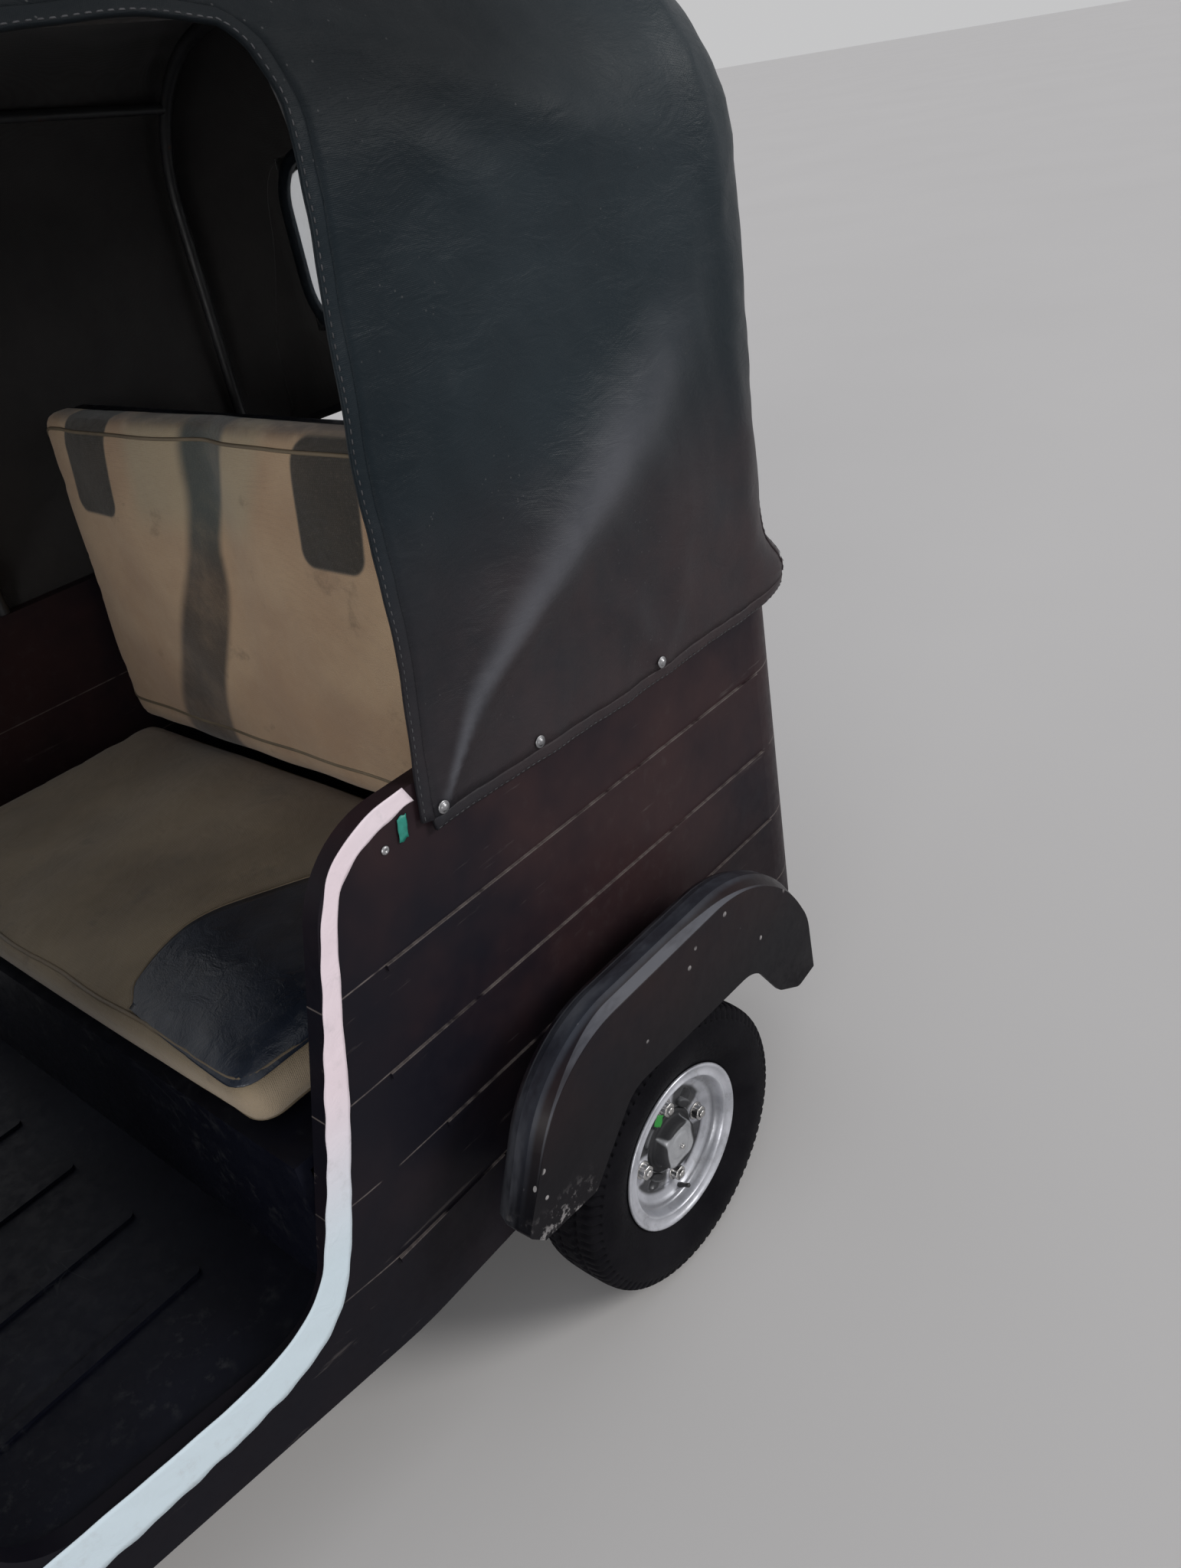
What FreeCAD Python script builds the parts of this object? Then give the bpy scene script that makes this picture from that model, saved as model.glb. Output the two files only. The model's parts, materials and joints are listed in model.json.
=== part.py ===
import FreeCAD, Part
import math
import os

import Sketcher

# A three-wheeled passenger auto rickshaw at its real size, in millimetres.
# +Z is up, the front faces -Y and the vehicle's left side is at +X.
# The origin is on the ground at the middle of the vehicle.

V = FreeCAD.Vector
doc = FreeCAD.newDocument("AutoRickshaw")

# Driving dimensions: alias, value, what it measures
DIMENSIONS = [
    ("wheelbase", 2000, "front axle to rear axle"),
    ("rear_axle_y", 879, "rear axle, behind the origin"),
    ("wheel_x", 575, "middle of a rear tyre from the centre line"),
    ("tyre_radius", 205, "tyre, outside"),
    ("tyre_half", 52, "half the tyre's width"),
    ("rim_radius", 119, "edge of the rim's flange"),
    ("rim_half", 41, "half the rim's width"),
    ("stud_circle_radius", 62, "wheel studs, from the axle"),
    ("side_x", 525, "outer face of the body side"),
    ("side_wall", 24, "thickness of a body side"),
    ("body_rear_y", 1384, "outer face of the rear panel"),
    ("corner_radius", 100, "rear corners in plan"),
    ("taper_start_y", 479, "the sides narrow ahead of here"),
    ("sill_front_x", 400, "outer face of the sill at its front end"),
    ("sill_front_y", -600, "front end of the sill"),
    ("sill_low_z", 230, "lower edge of the sill"),
    ("sill_top_z", 343, "top edge of the sill"),
    ("floor_z", 330, "top of the floor"),
    ("floor_thick", 12, "floor plate"),
    ("body_top_z", 890, "top of the body side and rear panel"),
    ("post_front_y", -75, "front of the post between the door openings"),
    ("post_rear_y", 15, "rear of that post"),
    ("post_top_z", 830, "top of that post"),
    ("door_low_y", 378, "rear edge of the door opening, at the sill"),
    ("door_high_y", 536, "rear edge of the door opening, at the top"),
    ("arch_radius", 240, "wheel opening in the body side"),
    ("rear_low_z", 300, "lower edge of the rear panel"),
    ("seat_half", 450, "half the bench's width"),
    ("backrest_half", 490, "half the backrest's width"),
    ("seat_front_y", 399, "front edge of the bench cushion"),
    ("seat_low_z", 547, "underside of the bench cushion"),
    ("seat_top_z", 655, "top of the bench cushion"),
    ("back_y", 882, "front of the bench backrest"),
    ("back_depth", 86, "thickness of the bench backrest"),
    ("back_top_z", 1165, "top of the bench backrest"),
    ("riser_y", 414, "front of the panel below the bench"),
    ("shelf_z", 870, "top of the shelf behind the backrest"),
    ("guard_x", 650, "outer face of a rear mudguard"),
    ("guard_thick", 5, "mudguard sheet"),
    ("cowl_wall", 20, "thickness of the front cowl"),
    ("cowl_top_z", 1000, "top of the cowl and foot of the windscreen"),
    ("nose_y", -1100, "front of the cowl above the wheel"),
    ("screen_low_y", -1000, "windscreen's face at its foot"),
    ("screen_high_y", -835, "windscreen's face at its top"),
    ("screen_top_z", 1560, "top of the windscreen frame"),
    ("hood_x", 532, "outer face of the hood's side"),
    ("hood_thick", 6, "hood canvas"),
    ("hood_rear_y", 1396, "outer face of the hood's back"),
    ("hood_hem_z", 820, "lower hem of the hood's side"),
    ("hood_front_y", -862, "front edge of the hood"),
    ("hoop_radius", 10, "hood frame tube"),
    ("steer_rake", 22, "steering axis, degrees from upright"),
    ("steer_lead", 12, "steering axis ahead of the axle, at axle height"),
    ("bar_z", 1030, "middle of the handlebar"),
    ("bar_radius", 11, "handlebar tube"),
    ("column_radius", 20, "steering column"),
    ("hatch_half", 300, "half the engine hatch's width"),
    ("hatch_low_z", 362, "lower edge of the engine hatch"),
    ("hatch_top_z", 756, "top edge of the engine hatch"),
    ("hatch_gap", 6, "gap round the engine hatch"),
    ("hatch_thick", 20, "engine hatch"),
]

sheet = doc.addObject("Spreadsheet::Sheet", "Dims")
for row, (alias, value, meaning) in enumerate(DIMENSIONS, start=1):
    sheet.set("A%d" % row, meaning)
    sheet.set("B%d" % row, str(value))
    sheet.setAlias("B%d" % row, alias)
doc.recompute()


class Size:
    """A number together with the sheet expression that gives it, so that one sum feeds both."""

    def __init__(self, value, text):
        self.value = float(value)
        self.text = text

    def __float__(self):
        return self.value

    def __add__(self, other):
        return combined(self, "+", other, self.value + float(other))

    def __radd__(self, other):
        return combined(other, "+", self, float(other) + self.value)

    def __sub__(self, other):
        return combined(self, "-", other, self.value - float(other))

    def __rsub__(self, other):
        return combined(other, "-", self, float(other) - self.value)

    def __mul__(self, other):
        return combined(self, "*", other, self.value * float(other))

    def __rmul__(self, other):
        return combined(other, "*", self, float(other) * self.value)

    def __neg__(self):
        return combined(0.0, "-", self, -self.value)


def written(number):
    """A Size's expression, or a plain number as text."""
    return number.text if isinstance(number, Size) else "%.6f" % float(number)


def combined(left, sign, right, value):
    return Size(value, "(%s %s %s)" % (written(left), sign, written(right)))


class Dimensions:
    """Reads the sheet's cells by their aliases."""

    def __getattr__(self, alias):
        return Size(sheet.get(alias), "Dims." + alias)


d = Dimensions()
nodes = {}


def bind(thing, prop, number):
    """Sets a property to a number, or binds it to the sheet if the number is a Size."""
    if isinstance(number, Size):
        thing.setExpression(prop, number.text)
    else:
        setattr(thing, prop, float(number))


def place(thing, spot, turn=None):
    """Puts a feature at a spot of numbers or Sizes, turned by a rotation."""
    thing.Placement = FreeCAD.Placement(V(*[float(c) for c in spot]), turn or FreeCAD.Rotation())
    for letter, number in zip("xyz", spot):
        if isinstance(number, Size):
            thing.setExpression("Placement.Base." + letter, number.text)
    return thing


def keep(thing, node):
    """Marks a feature as the sub-part that is written under this name."""
    thing.Label = node
    nodes[node] = thing
    return thing


# Part primitives and booleans

TURNS = {
    "z": FreeCAD.Rotation(),
    "x": FreeCAD.Rotation(V(0, 1, 0), 90),
    "y": FreeCAD.Rotation(V(1, 0, 0), -90),
}


def box(name, low, size):
    made = doc.addObject("Part::Box", name)
    for prop, number in zip(("Length", "Width", "Height"), size):
        bind(made, prop, number)
    return place(made, low)


def cylinder(name, radius, length, start, along="z"):
    """A cylinder from start, along an axis or turned by a rotation."""
    made = doc.addObject("Part::Cylinder", name)
    bind(made, "Radius", radius)
    bind(made, "Height", length)
    return place(made, start, TURNS[along] if isinstance(along, str) else along)


def ball(name, radius, centre):
    made = doc.addObject("Part::Sphere", name)
    bind(made, "Radius", radius)
    return place(made, centre)


def fuse(name, parts):
    made = doc.addObject("Part::MultiFuse", name)
    made.Shapes = parts
    return made


def cut(name, base, tool):
    made = doc.addObject("Part::Cut", name)
    made.Base = base
    made.Tool = tool
    return made


def common(name, first, second):
    made = doc.addObject("Part::Common", name)
    made.Base = first
    made.Tool = second
    return made


def mirror(name, source):
    """The other side's copy, across the centre line."""
    made = doc.addObject("Part::Mirroring", name)
    made.Source = source
    made.Normal = V(1, 0, 0)
    return made


def shaped(name, shape):
    """A feature whose shape is made by Part's own functions."""
    made = doc.addObject("Part::Feature", name)
    made.Shape = shape
    return made


def tube(name, path, radius):
    """A round bar along straight runs, mitred at each bend."""
    points = [V(*[float(c) for c in p]) for p in path]
    section = Part.Wire(Part.makeCircle(float(radius), points[0], points[1] - points[0]))
    return shaped(name, Part.makePolygon(points).makePipeShell([section], True, False, 1))


# PartDesign bodies, with sketches on their own origin planes

PLANE_NORMAL = {"XY_Plane": 1, "YZ_Plane": 1, "XZ_Plane": -1}


def body(name):
    return doc.addObject("PartDesign::Body", name)


def sketch_on(owner, name, role, level=0):
    """An empty sketch parallel to one of the body's origin planes, at a level along +X, +Y or +Z."""
    sketch = owner.newObject("Sketcher::SketchObject", name)
    plane = [f for f in owner.Origin.OriginFeatures if f.Role == role][0]
    sketch.AttachmentSupport = [(plane, "")]
    sketch.MapMode = "FlatFace"
    height = level * PLANE_NORMAL[role]
    sketch.AttachmentOffset = FreeCAD.Placement(V(0, 0, float(height)), FreeCAD.Rotation())
    if isinstance(height, Size):
        sketch.setExpression("AttachmentOffset.Base.z", height.text)
    return sketch


def fix_point(sketch, geometry, end, across, up):
    for kind, number in (("DistanceX", across), ("DistanceY", up)):
        index = sketch.addConstraint(
            Sketcher.Constraint(kind, -1, 1, geometry, end, float(number))
        )
        if isinstance(number, Size):
            sketch.setExpression("Constraints[%d]" % index, number.text)


def corner_arc(before, corner, after, radius):
    """The two tangent points of a rounded corner, its centre, and 1 for a left turn."""
    back = (before - corner).normalize()
    ahead = (after - corner).normalize()
    half = back.getAngle(ahead) / 2
    reach = radius / math.tan(half)
    middle = (back + ahead).normalize() * (radius / math.sin(half))
    left = 1 if back.cross(ahead).z < 0 else -1
    return corner + back * reach, corner + ahead * reach, corner + middle, left


def outline(sketch, corners):
    """A closed profile through corners of (across, up, rounding), each bound to the sheet."""
    spots = [V(float(x), float(y), 0) for x, y, r in corners]
    count = len(corners)
    entries, exits, arcs = [], [], {}
    for i, (x, y, r) in enumerate(corners):
        if float(r) > 0:
            start, end, centre, left = corner_arc(
                spots[i - 1], spots[i], spots[(i + 1) % count], float(r)
            )
            arcs[i] = (centre, left, start, end)
            entries.append(start)
            exits.append(end)
        else:
            entries.append(spots[i])
            exits.append(spots[i])
    for i in range(count):
        sketch.addGeometry(Part.LineSegment(exits[i], entries[(i + 1) % count]), False)
    for i, (x, y, r) in enumerate(corners):
        line_in, line_out = (i - 1) % count, i
        if i not in arcs:
            sketch.addConstraint(Sketcher.Constraint("Coincident", line_in, 2, line_out, 1))
            fix_point(sketch, line_out, 1, x, y)
            continue
        centre, left, start, end = arcs[i]
        first, last = (start, end) if left > 0 else (end, start)
        angles = [math.atan2(p.y - centre.y, p.x - centre.x) for p in (first, last)]
        circle = Part.Circle(centre, V(0, 0, 1), float(r))
        arc = sketch.addGeometry(Part.ArcOfCircle(circle, *angles), False)
        starts, ends = (1, 2) if left > 0 else (2, 1)
        sketch.addConstraint(Sketcher.Constraint("Tangent", line_in, 2, arc, starts))
        sketch.addConstraint(Sketcher.Constraint("Tangent", arc, ends, line_out, 1))
        index = sketch.addConstraint(Sketcher.Constraint("Radius", arc, float(r)))
        if isinstance(r, Size):
            sketch.setExpression("Constraints[%d]" % index, r.text)
        point = sketch.addGeometry(Part.Point(spots[i]), True)
        fix_point(sketch, point, 1, x, y)
        sketch.addConstraint(Sketcher.Constraint("PointOnObject", point, 1, line_in))
        sketch.addConstraint(Sketcher.Constraint("PointOnObject", point, 1, line_out))
    return sketch


def discs(sketch, circles):
    """Full circles of (across, up, radius)."""
    for across, up, radius in circles:
        circle = Part.Circle(V(float(across), float(up), 0), V(0, 0, 1), float(radius))
        index = sketch.addGeometry(circle, False)
        fix_point(sketch, index, 3, across, up)
        limit = sketch.addConstraint(Sketcher.Constraint("Radius", index, float(radius)))
        if isinstance(radius, Size):
            sketch.setExpression("Constraints[%d]" % limit, radius.text)
    return sketch


def pad(owner, sketch, length, role, toward=1, both=False):
    """Pads a sketch towards the plane's positive or negative axis, or both ways from the middle."""
    made = owner.newObject("PartDesign::Pad", sketch.Name + "_pad")
    made.Profile = sketch
    bind(made, "Length", length)
    made.Reversed = toward * PLANE_NORMAL[role] < 0
    made.Midplane = both
    return made


def pocket(owner, sketch, length=None):
    """Cuts a sketch through everything, both ways, or to a depth each way from its plane."""
    made = owner.newObject("PartDesign::Pocket", sketch.Name + "_pocket")
    made.Profile = sketch
    if length is None:
        made.Type = "ThroughAll"
    else:
        bind(made, "Length", length)
    made.Midplane = True
    return made


def revolve(owner, sketch, axis="H_Axis", angle=360):
    made = owner.newObject("PartDesign::Revolution", sketch.Name + "_turn")
    made.Profile = sketch
    made.ReferenceAxis = (sketch, [axis])
    made.Angle = angle
    return made


def polar(owner, feature, sketch, count):
    made = owner.newObject("PartDesign::PolarPattern", feature.Name + "_ring")
    made.Originals = [feature]
    made.Axis = (sketch, ["N_Axis"])
    made.Angle = 360
    made.Occurrences = count
    owner.Tip = made
    return made


def linear(owner, feature, sketch, axis, length, count):
    made = owner.newObject("PartDesign::LinearPattern", feature.Name + "_row")
    made.Originals = [feature]
    made.Direction = (sketch, [axis])
    made.Length = length
    made.Occurrences = count
    owner.Tip = made
    return made


def soften(owner, edges_wanted, radius, kind="Fillet"):
    """Fillets or chamfers the edges of the body's last feature that a test picks by their middle."""
    doc.recompute()
    base = owner.Tip
    names = []
    for i, edge in enumerate(base.Shape.Edges, start=1):
        first, last = edge.ParameterRange
        if edges_wanted(edge.valueAt((first + last) / 2), edge):
            names.append("Edge%d" % i)
    made = owner.newObject("PartDesign::" + kind, base.Name + "_" + kind.lower())
    made.Base = (base, names)
    bind(made, "Radius" if kind == "Fillet" else "Size", radius)
    return made


# Wheels

# Rim section: across the wheel (outboard is +), radius
RIM_SECTION = [
    (41, 119), (37, 119), (35, 104), (20, 101), (13, 88), (-13, 88), (-20, 101), (-35, 104),
    (-37, 119), (-41, 119), (-40, 101), (-23, 97), (-16, 84), (6, 84), (11, 46), (15, 46),
    (13, 78), (17, 85), (23, 97), (40, 101),
]
# Tyre section: across, radius; the tyre has this many flats round it
TYRE_SECTION = [(30, 105.5), (53, 158), (44, 205), (-44, 205), (-53, 158), (-30, 105.5)]
TYRE_FLATS = 96
# Hub section: across, radius; the brake drum is at its inboard end
HUB_SECTION = [
    (-62, 15.5), (-62, 82), (-14, 82), (-12, 70), (5.5, 70), (5.5, 34), (34, 32), (34, 0),
    (28, 0), (28, 15.5),
]
STUD_RADIUS = 6
NUT_RADIUS = 10
AXLE_RADIUS = 14


def flat_ring(name, section, flats):
    """A ring about the X axis with flat facets, from a closed section of (across, radius)."""
    rings = []
    for x, r in section:
        angles = [math.tau * k / flats for k in range(flats)]
        rings.append([V(x, r * math.cos(a), r * math.sin(a)) for a in angles])
    faces = []
    for ring, following in zip(rings, rings[1:] + rings[:1]):
        for k in range(flats):
            corners = [ring[k - 1], ring[k], following[k], following[k - 1]]
            faces.append(Part.Face(Part.makePolygon(corners + corners[:1])))
    return shaped(name, Part.Solid(Part.Shell(faces)))


def wheel(prefix, suffix, centre, turn):
    """Tyre, rim and hub of one wheel, turned about its axle, which runs along X."""
    wider = float(d.tyre_half) - 52
    larger = float(d.tyre_radius) - 205
    tyre = flat_ring(prefix + "_tyre" + suffix, [
        (x + math.copysign(wider, x), r + larger) for x, r in TYRE_SECTION
    ], TYRE_FLATS)

    rim = body(prefix + "_rim" + suffix)
    section = sketch_on(rim, rim.Name + "_section", "XY_Plane")
    corners = [(x, d.rim_radius - (119 - r), 0) for x, r in RIM_SECTION]
    revolve(rim, outline(section, corners))
    hole = sketch_on(rim, rim.Name + "_hole", "YZ_Plane", 10)
    discs(hole, [(0, d.stud_circle_radius, STUD_RADIUS + 0.5)])
    polar(rim, pocket(rim, hole, 40), hole, 4)

    hub = body(prefix + "_hub" + suffix)
    section = sketch_on(hub, hub.Name + "_section", "XY_Plane")
    revolve(hub, outline(section, [(x, r, 0) for x, r in HUB_SECTION]))
    stud = sketch_on(hub, hub.Name + "_stud", "YZ_Plane", -2)
    discs(stud, [(0, d.stud_circle_radius, STUD_RADIUS)])
    polar(hub, pad(hub, stud, 30, "YZ_Plane"), stud, 4)
    nut = sketch_on(hub, hub.Name + "_nut", "YZ_Plane", 15.5)
    discs(nut, [(0, d.stud_circle_radius, NUT_RADIUS)])
    polar(hub, pad(hub, nut, 10, "YZ_Plane"), nut, 4)

    for part in (tyre, rim, hub):
        keep(place(part, centre, turn), part.Name)


FACES_LEFT = FreeCAD.Rotation()
FACES_RIGHT = FreeCAD.Rotation(V(0, 0, 1), 180)
front_axle_y = d.rear_axle_y - d.wheelbase
wheel("rear", "_left", (d.wheel_x, d.rear_axle_y, d.tyre_radius), FACES_LEFT)
wheel("rear", "_right", (-d.wheel_x, d.rear_axle_y, d.tyre_radius), FACES_RIGHT)
wheel("front", "", (0, front_axle_y, d.tyre_radius), FACES_LEFT)


# Body sides: a plan band, raised to the body's height, with the openings cut through it

def body_sides():
    inner_x = d.side_x - d.side_wall
    inner_front = d.sill_front_x - d.side_wall
    rear_in = d.body_rear_y - d.side_wall
    corner_x = d.side_x - d.corner_radius - 5
    side = body("side_panel_left")
    plan = sketch_on(side, "side_plan", "XY_Plane", d.sill_low_z)
    outline(plan, [
        (d.sill_front_x, d.sill_front_y, 0),
        (d.side_x, d.taper_start_y, 600),
        (d.side_x, d.body_rear_y, d.corner_radius),
        (corner_x, d.body_rear_y, 0),
        (corner_x, rear_in, 0),
        (inner_x, rear_in, d.corner_radius - d.side_wall),
        (inner_x, d.taper_start_y, 600),
        (inner_front, d.sill_front_y, 0),
    ])
    pad(side, plan, d.body_top_z - d.sill_low_z, "XY_Plane")

    over = d.body_top_z + 50
    doorway = sketch_on(side, "passenger_doorway", "YZ_Plane")
    outline(doorway, [
        (d.post_rear_y, over, 0),
        (d.post_rear_y, d.sill_top_z, 80),
        (d.door_low_y, d.sill_top_z, 95),
        (d.door_high_y, d.body_top_z, 120),
        (700, d.body_top_z, 0),
        (700, over, 0),
    ])
    pocket(side, doorway)
    doorway = sketch_on(side, "driver_doorway", "YZ_Plane")
    outline(doorway, [
        (d.sill_front_y - 20, over, 0),
        (d.sill_front_y - 20, d.sill_top_z, 0),
        (d.post_front_y, d.sill_top_z, 70),
        (d.post_front_y, d.post_top_z, 0),
        (d.post_rear_y + 10, d.post_top_z, 0),
        (d.post_rear_y + 10, over, 0),
    ])
    pocket(side, doorway)
    arch = sketch_on(side, "wheel_arch", "YZ_Plane")
    discs(arch, [(d.rear_axle_y, d.tyre_radius, d.arch_radius)])
    pocket(side, arch)
    tail = sketch_on(side, "tail_end", "YZ_Plane")
    outline(tail, [
        (d.rear_axle_y + 200, d.sill_low_z - 20, 0),
        (d.body_rear_y + 20, d.sill_low_z - 20, 0),
        (d.body_rear_y + 20, d.rear_low_z, 0),
        (d.rear_axle_y + 200, d.rear_low_z, 0),
    ])
    pocket(side, tail)

    # Pressed ribs along the side: height, front end, rear end
    for number, (height, front, rear) in enumerate(
        [(716, 574, 1284), (591, 539, 1284), (471, 589, 1284), (355, 475, 652)], start=1
    ):
        rib = sketch_on(side, "side_rib_%d" % number, "YZ_Plane", d.side_x)
        outline(rib, [
            (front, height - 4, 0), (rear, height - 4, 0),
            (rear, height + 4, 0), (front, height + 4, 0),
        ])
        pad(side, rib, 3, "YZ_Plane")
    keep(side, "side_panel_left")
    keep(mirror("side_panel_right", side), "side_panel_right")


body_sides()


def rear_panel():
    """The panel between the rear corners, with the hatch's opening and the hinge's fixed halves."""
    panel = body("rear_panel")
    corner_x = d.side_x - d.corner_radius - 5
    face = sketch_on(panel, "rear_face", "XZ_Plane", d.body_rear_y)
    outline(face, [
        (-corner_x, d.rear_low_z, 0), (corner_x, d.rear_low_z, 0),
        (corner_x, d.body_top_z, 0), (-corner_x, d.body_top_z, 0),
    ])
    pad(panel, face, d.side_wall, "XZ_Plane", toward=-1)
    hole = sketch_on(panel, "hatch_opening", "XZ_Plane", d.body_rear_y)
    wide = d.hatch_half + d.hatch_gap
    low = d.hatch_low_z - d.hatch_gap
    high = d.hatch_top_z + d.hatch_gap
    outline(hole, [(-wide, low, 20), (wide, low, 20), (wide, high, 20), (-wide, high, 20)])
    pocket(panel, hole)
    # Two pressed ribs across the panel above the hatch
    for number, height in enumerate((795, 850), start=1):
        rib = sketch_on(panel, "rear_rib_%d" % number, "XZ_Plane", d.body_rear_y)
        outline(rib, [
            (-400, height - 5, 0), (400, height - 5, 0), (400, height + 5, 0), (-400, height + 5, 0),
        ])
        pad(panel, rib, 3, "XZ_Plane")
    keep(panel, "rear_panel")


rear_panel()


def engine_hatch():
    """The lid over the engine bay: a louvred plate hinged along its top edge."""
    lid = body("engine_hatch")
    face = sketch_on(lid, "hatch_face", "XZ_Plane", d.body_rear_y)
    outline(face, [
        (-d.hatch_half, d.hatch_low_z, 16), (d.hatch_half, d.hatch_low_z, 16),
        (d.hatch_half, d.hatch_top_z, 16), (-d.hatch_half, d.hatch_top_z, 16),
    ])
    pad(lid, face, d.hatch_thick, "XZ_Plane", toward=-1)
    slot = sketch_on(lid, "louvre", "XZ_Plane", d.body_rear_y)
    outline(slot, [(-230, 640, 3.5), (-40, 640, 3.5), (-40, 648, 3.5), (-230, 648, 3.5)])
    first = pocket(lid, slot, 60)
    linear(lid, first, slot, "V_Axis", 80, 5)
    slot = sketch_on(lid, "louvre_right", "XZ_Plane", d.body_rear_y)
    outline(slot, [(40, 640, 3.5), (230, 640, 3.5), (230, 648, 3.5), (40, 648, 3.5)])
    first = pocket(lid, slot, 60)
    linear(lid, first, slot, "V_Axis", 80, 5)
    holes = sketch_on(lid, "plate_holes", "XZ_Plane", d.body_rear_y)
    discs(holes, [(-75, 520, 3.5), (75, 520, 3.5)])
    pocket(lid, holes, 60)
    press = sketch_on(lid, "hatch_press", "XZ_Plane", d.body_rear_y)
    outline(press, [(-200, 385, 3), (200, 385, 3), (200, 393, 3), (-200, 393, 3)])
    pad(lid, press, 4, "XZ_Plane")
    hinge_y = d.body_rear_y + 6
    hinge_z = d.hatch_top_z + 10
    pieces = [lid]
    for side, x in (("left", 180), ("right", -220)):
        pieces.append(cylinder("hatch_barrel_" + side, 5, 40, (x, hinge_y, hinge_z), "x"))
        pieces.append(box("hatch_knuckle_" + side, (x + 2, hinge_y - 4, hinge_z - 24), (36, 3, 24)))
        pieces.append(box("hatch_leaf_" + side, (x - 2, hinge_y - 8, hinge_z - 40), (44, 5, 26)))
    pieces.append(box("hatch_handle", (-30, d.body_rear_y - 1, 412), (60, 10, 20)))
    keep(fuse("engine_hatch_whole", pieces), "engine_hatch")


engine_hatch()


def floor():
    """Pressed floor plate between the sides, its ribs, and the toe board over the front wheel."""
    plate = body("floor_plate")
    outer = d.side_x - d.side_wall - 7.6
    front_x = d.sill_front_x - d.side_wall
    plan = sketch_on(plate, "floor_plan", "XY_Plane", d.floor_z - d.floor_thick)
    outline(plan, [
        (outer, d.riser_y, 0), (front_x, d.sill_front_y, 0), (350, -790, 0), (270, -848, 0),
        (-270, -848, 0), (-350, -790, 0), (-front_x, d.sill_front_y, 0), (-outer, d.riser_y, 0),
    ])
    pad(plate, plan, d.floor_thick, "XY_Plane")
    # Pressed ribs: the first of each row, the row's length, how many
    for name, x, front, rear, step, count in (
        ("foot_rib", -300, 60, 340, 600, 5),
        ("driver_rib", -200, -560, -380, 400, 5),
    ):
        rib = sketch_on(plate, name, "XY_Plane", d.floor_z)
        outline(rib, [
            (x - 9, front, 8), (x + 9, front, 8), (x + 9, rear, 8), (x - 9, rear, 8),
        ])
        linear(plate, pad(plate, rib, 5, "XY_Plane"), rib, "H_Axis", step, count)
    toe = body("toe_board")
    slope = sketch_on(toe, "toe_slope", "YZ_Plane")
    outline(slope, [
        (-846, d.floor_z - d.floor_thick, 0), (-838, d.floor_z, 0),
        (-908, 480, 0), (-918, 476, 0),
    ])
    pad(toe, slope, 540, "YZ_Plane", both=True)
    keep(fuse("floor_pan", [plate, toe]), "floor_pan")


floor()


def bulkhead():
    """The folded panel under and behind the bench: riser, seat deck, backboard and shelf."""
    fold = body("seat_bulkhead")
    thick = 16
    board_y = d.back_y + d.back_depth
    deck = d.seat_low_z
    shape = sketch_on(fold, "bulkhead_section", "YZ_Plane")
    outline(shape, [
        (d.riser_y, d.floor_z, 0),
        (d.riser_y + thick, d.floor_z, 0),
        (d.riser_y + thick, deck - thick, 0),
        (board_y + thick, deck - thick, 0),
        (board_y + thick, d.shelf_z - thick, 0),
        (d.body_rear_y - d.side_wall, d.shelf_z - thick, 0),
        (d.body_rear_y - d.side_wall, d.shelf_z, 0),
        (board_y + thick, d.shelf_z, 0),
        (board_y + thick, d.back_top_z - 15, 0),
        (board_y, d.back_top_z - 15, 0),
        (board_y, deck, 0),
        (d.riser_y, deck, 0),
    ])
    pad(fold, shape, 2 * (d.side_x - d.side_wall - 8), "YZ_Plane", both=True)
    fitted = cut("bulkhead_left_fit", fold, nodes["side_panel_left"])
    keep(cut("bulkhead_fit", fitted, nodes["side_panel_right"]), "seat_bulkhead")


bulkhead()


def underframe():
    """A ladder of two long rails and the beams across them."""
    rails = []
    for number, x in enumerate((-320, 280), start=1):
        rails.append(box("long_rail_%d" % number, (x, -780, 262), (40, 2136, 56)))
    # Beams: front face, underside, depth, height
    for number, (y, z, deep, tall) in enumerate([
        (-780, 270, 50, 40), (-560, 270, 50, 40), (-40, 270, 50, 40), (1310, 300, 46, 40),
    ], start=1):
        rails.append(box("cross_beam_%d" % number, (-310, y, z), (620, deep, tall)))
    rails.append(box("pivot_beam", (-388, 430, 240), (776, 70, 70)))
    keep(fuse("underframe", rails), "underframe")


underframe()


def partition():
    """The low wall behind the driver, with a grab rail across its top."""
    wall = body("partition_wall")
    half = 440
    face = sketch_on(wall, "partition_face", "XZ_Plane", d.post_rear_y - 25)
    outline(face, [
        (-half, d.floor_z, 0), (half, d.floor_z, 0), (half, 790, 60), (-half, 790, 60),
    ])
    pad(wall, face, 16, "XZ_Plane", toward=-1)
    swage = sketch_on(wall, "partition_swage", "XZ_Plane", d.post_rear_y - 25)
    outline(swage, [(-360, 400, 30), (360, 400, 30), (360, 720, 30), (-360, 720, 30)])
    pad(wall, swage, 4, "XZ_Plane")
    keep(wall, "partition")


partition()


def cushion(node, low, size, soft=22):
    """A closed cushion block with rounded edges."""
    pad_body = body(node)
    x, y, z = low
    wide, deep, tall = size
    plan = sketch_on(pad_body, node + "_plan", "XY_Plane", z)
    outline(plan, [
        (x, y, soft), (x + wide, y, soft), (x + wide, y + deep, soft), (x, y + deep, soft),
    ])
    pad(pad_body, plan, tall, "XY_Plane")
    top = float(z) + float(tall)
    soften(pad_body, lambda spot, edge: abs(spot.z - top) < 0.01, soft * 0.9)
    return keep(pad_body, node)


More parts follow.
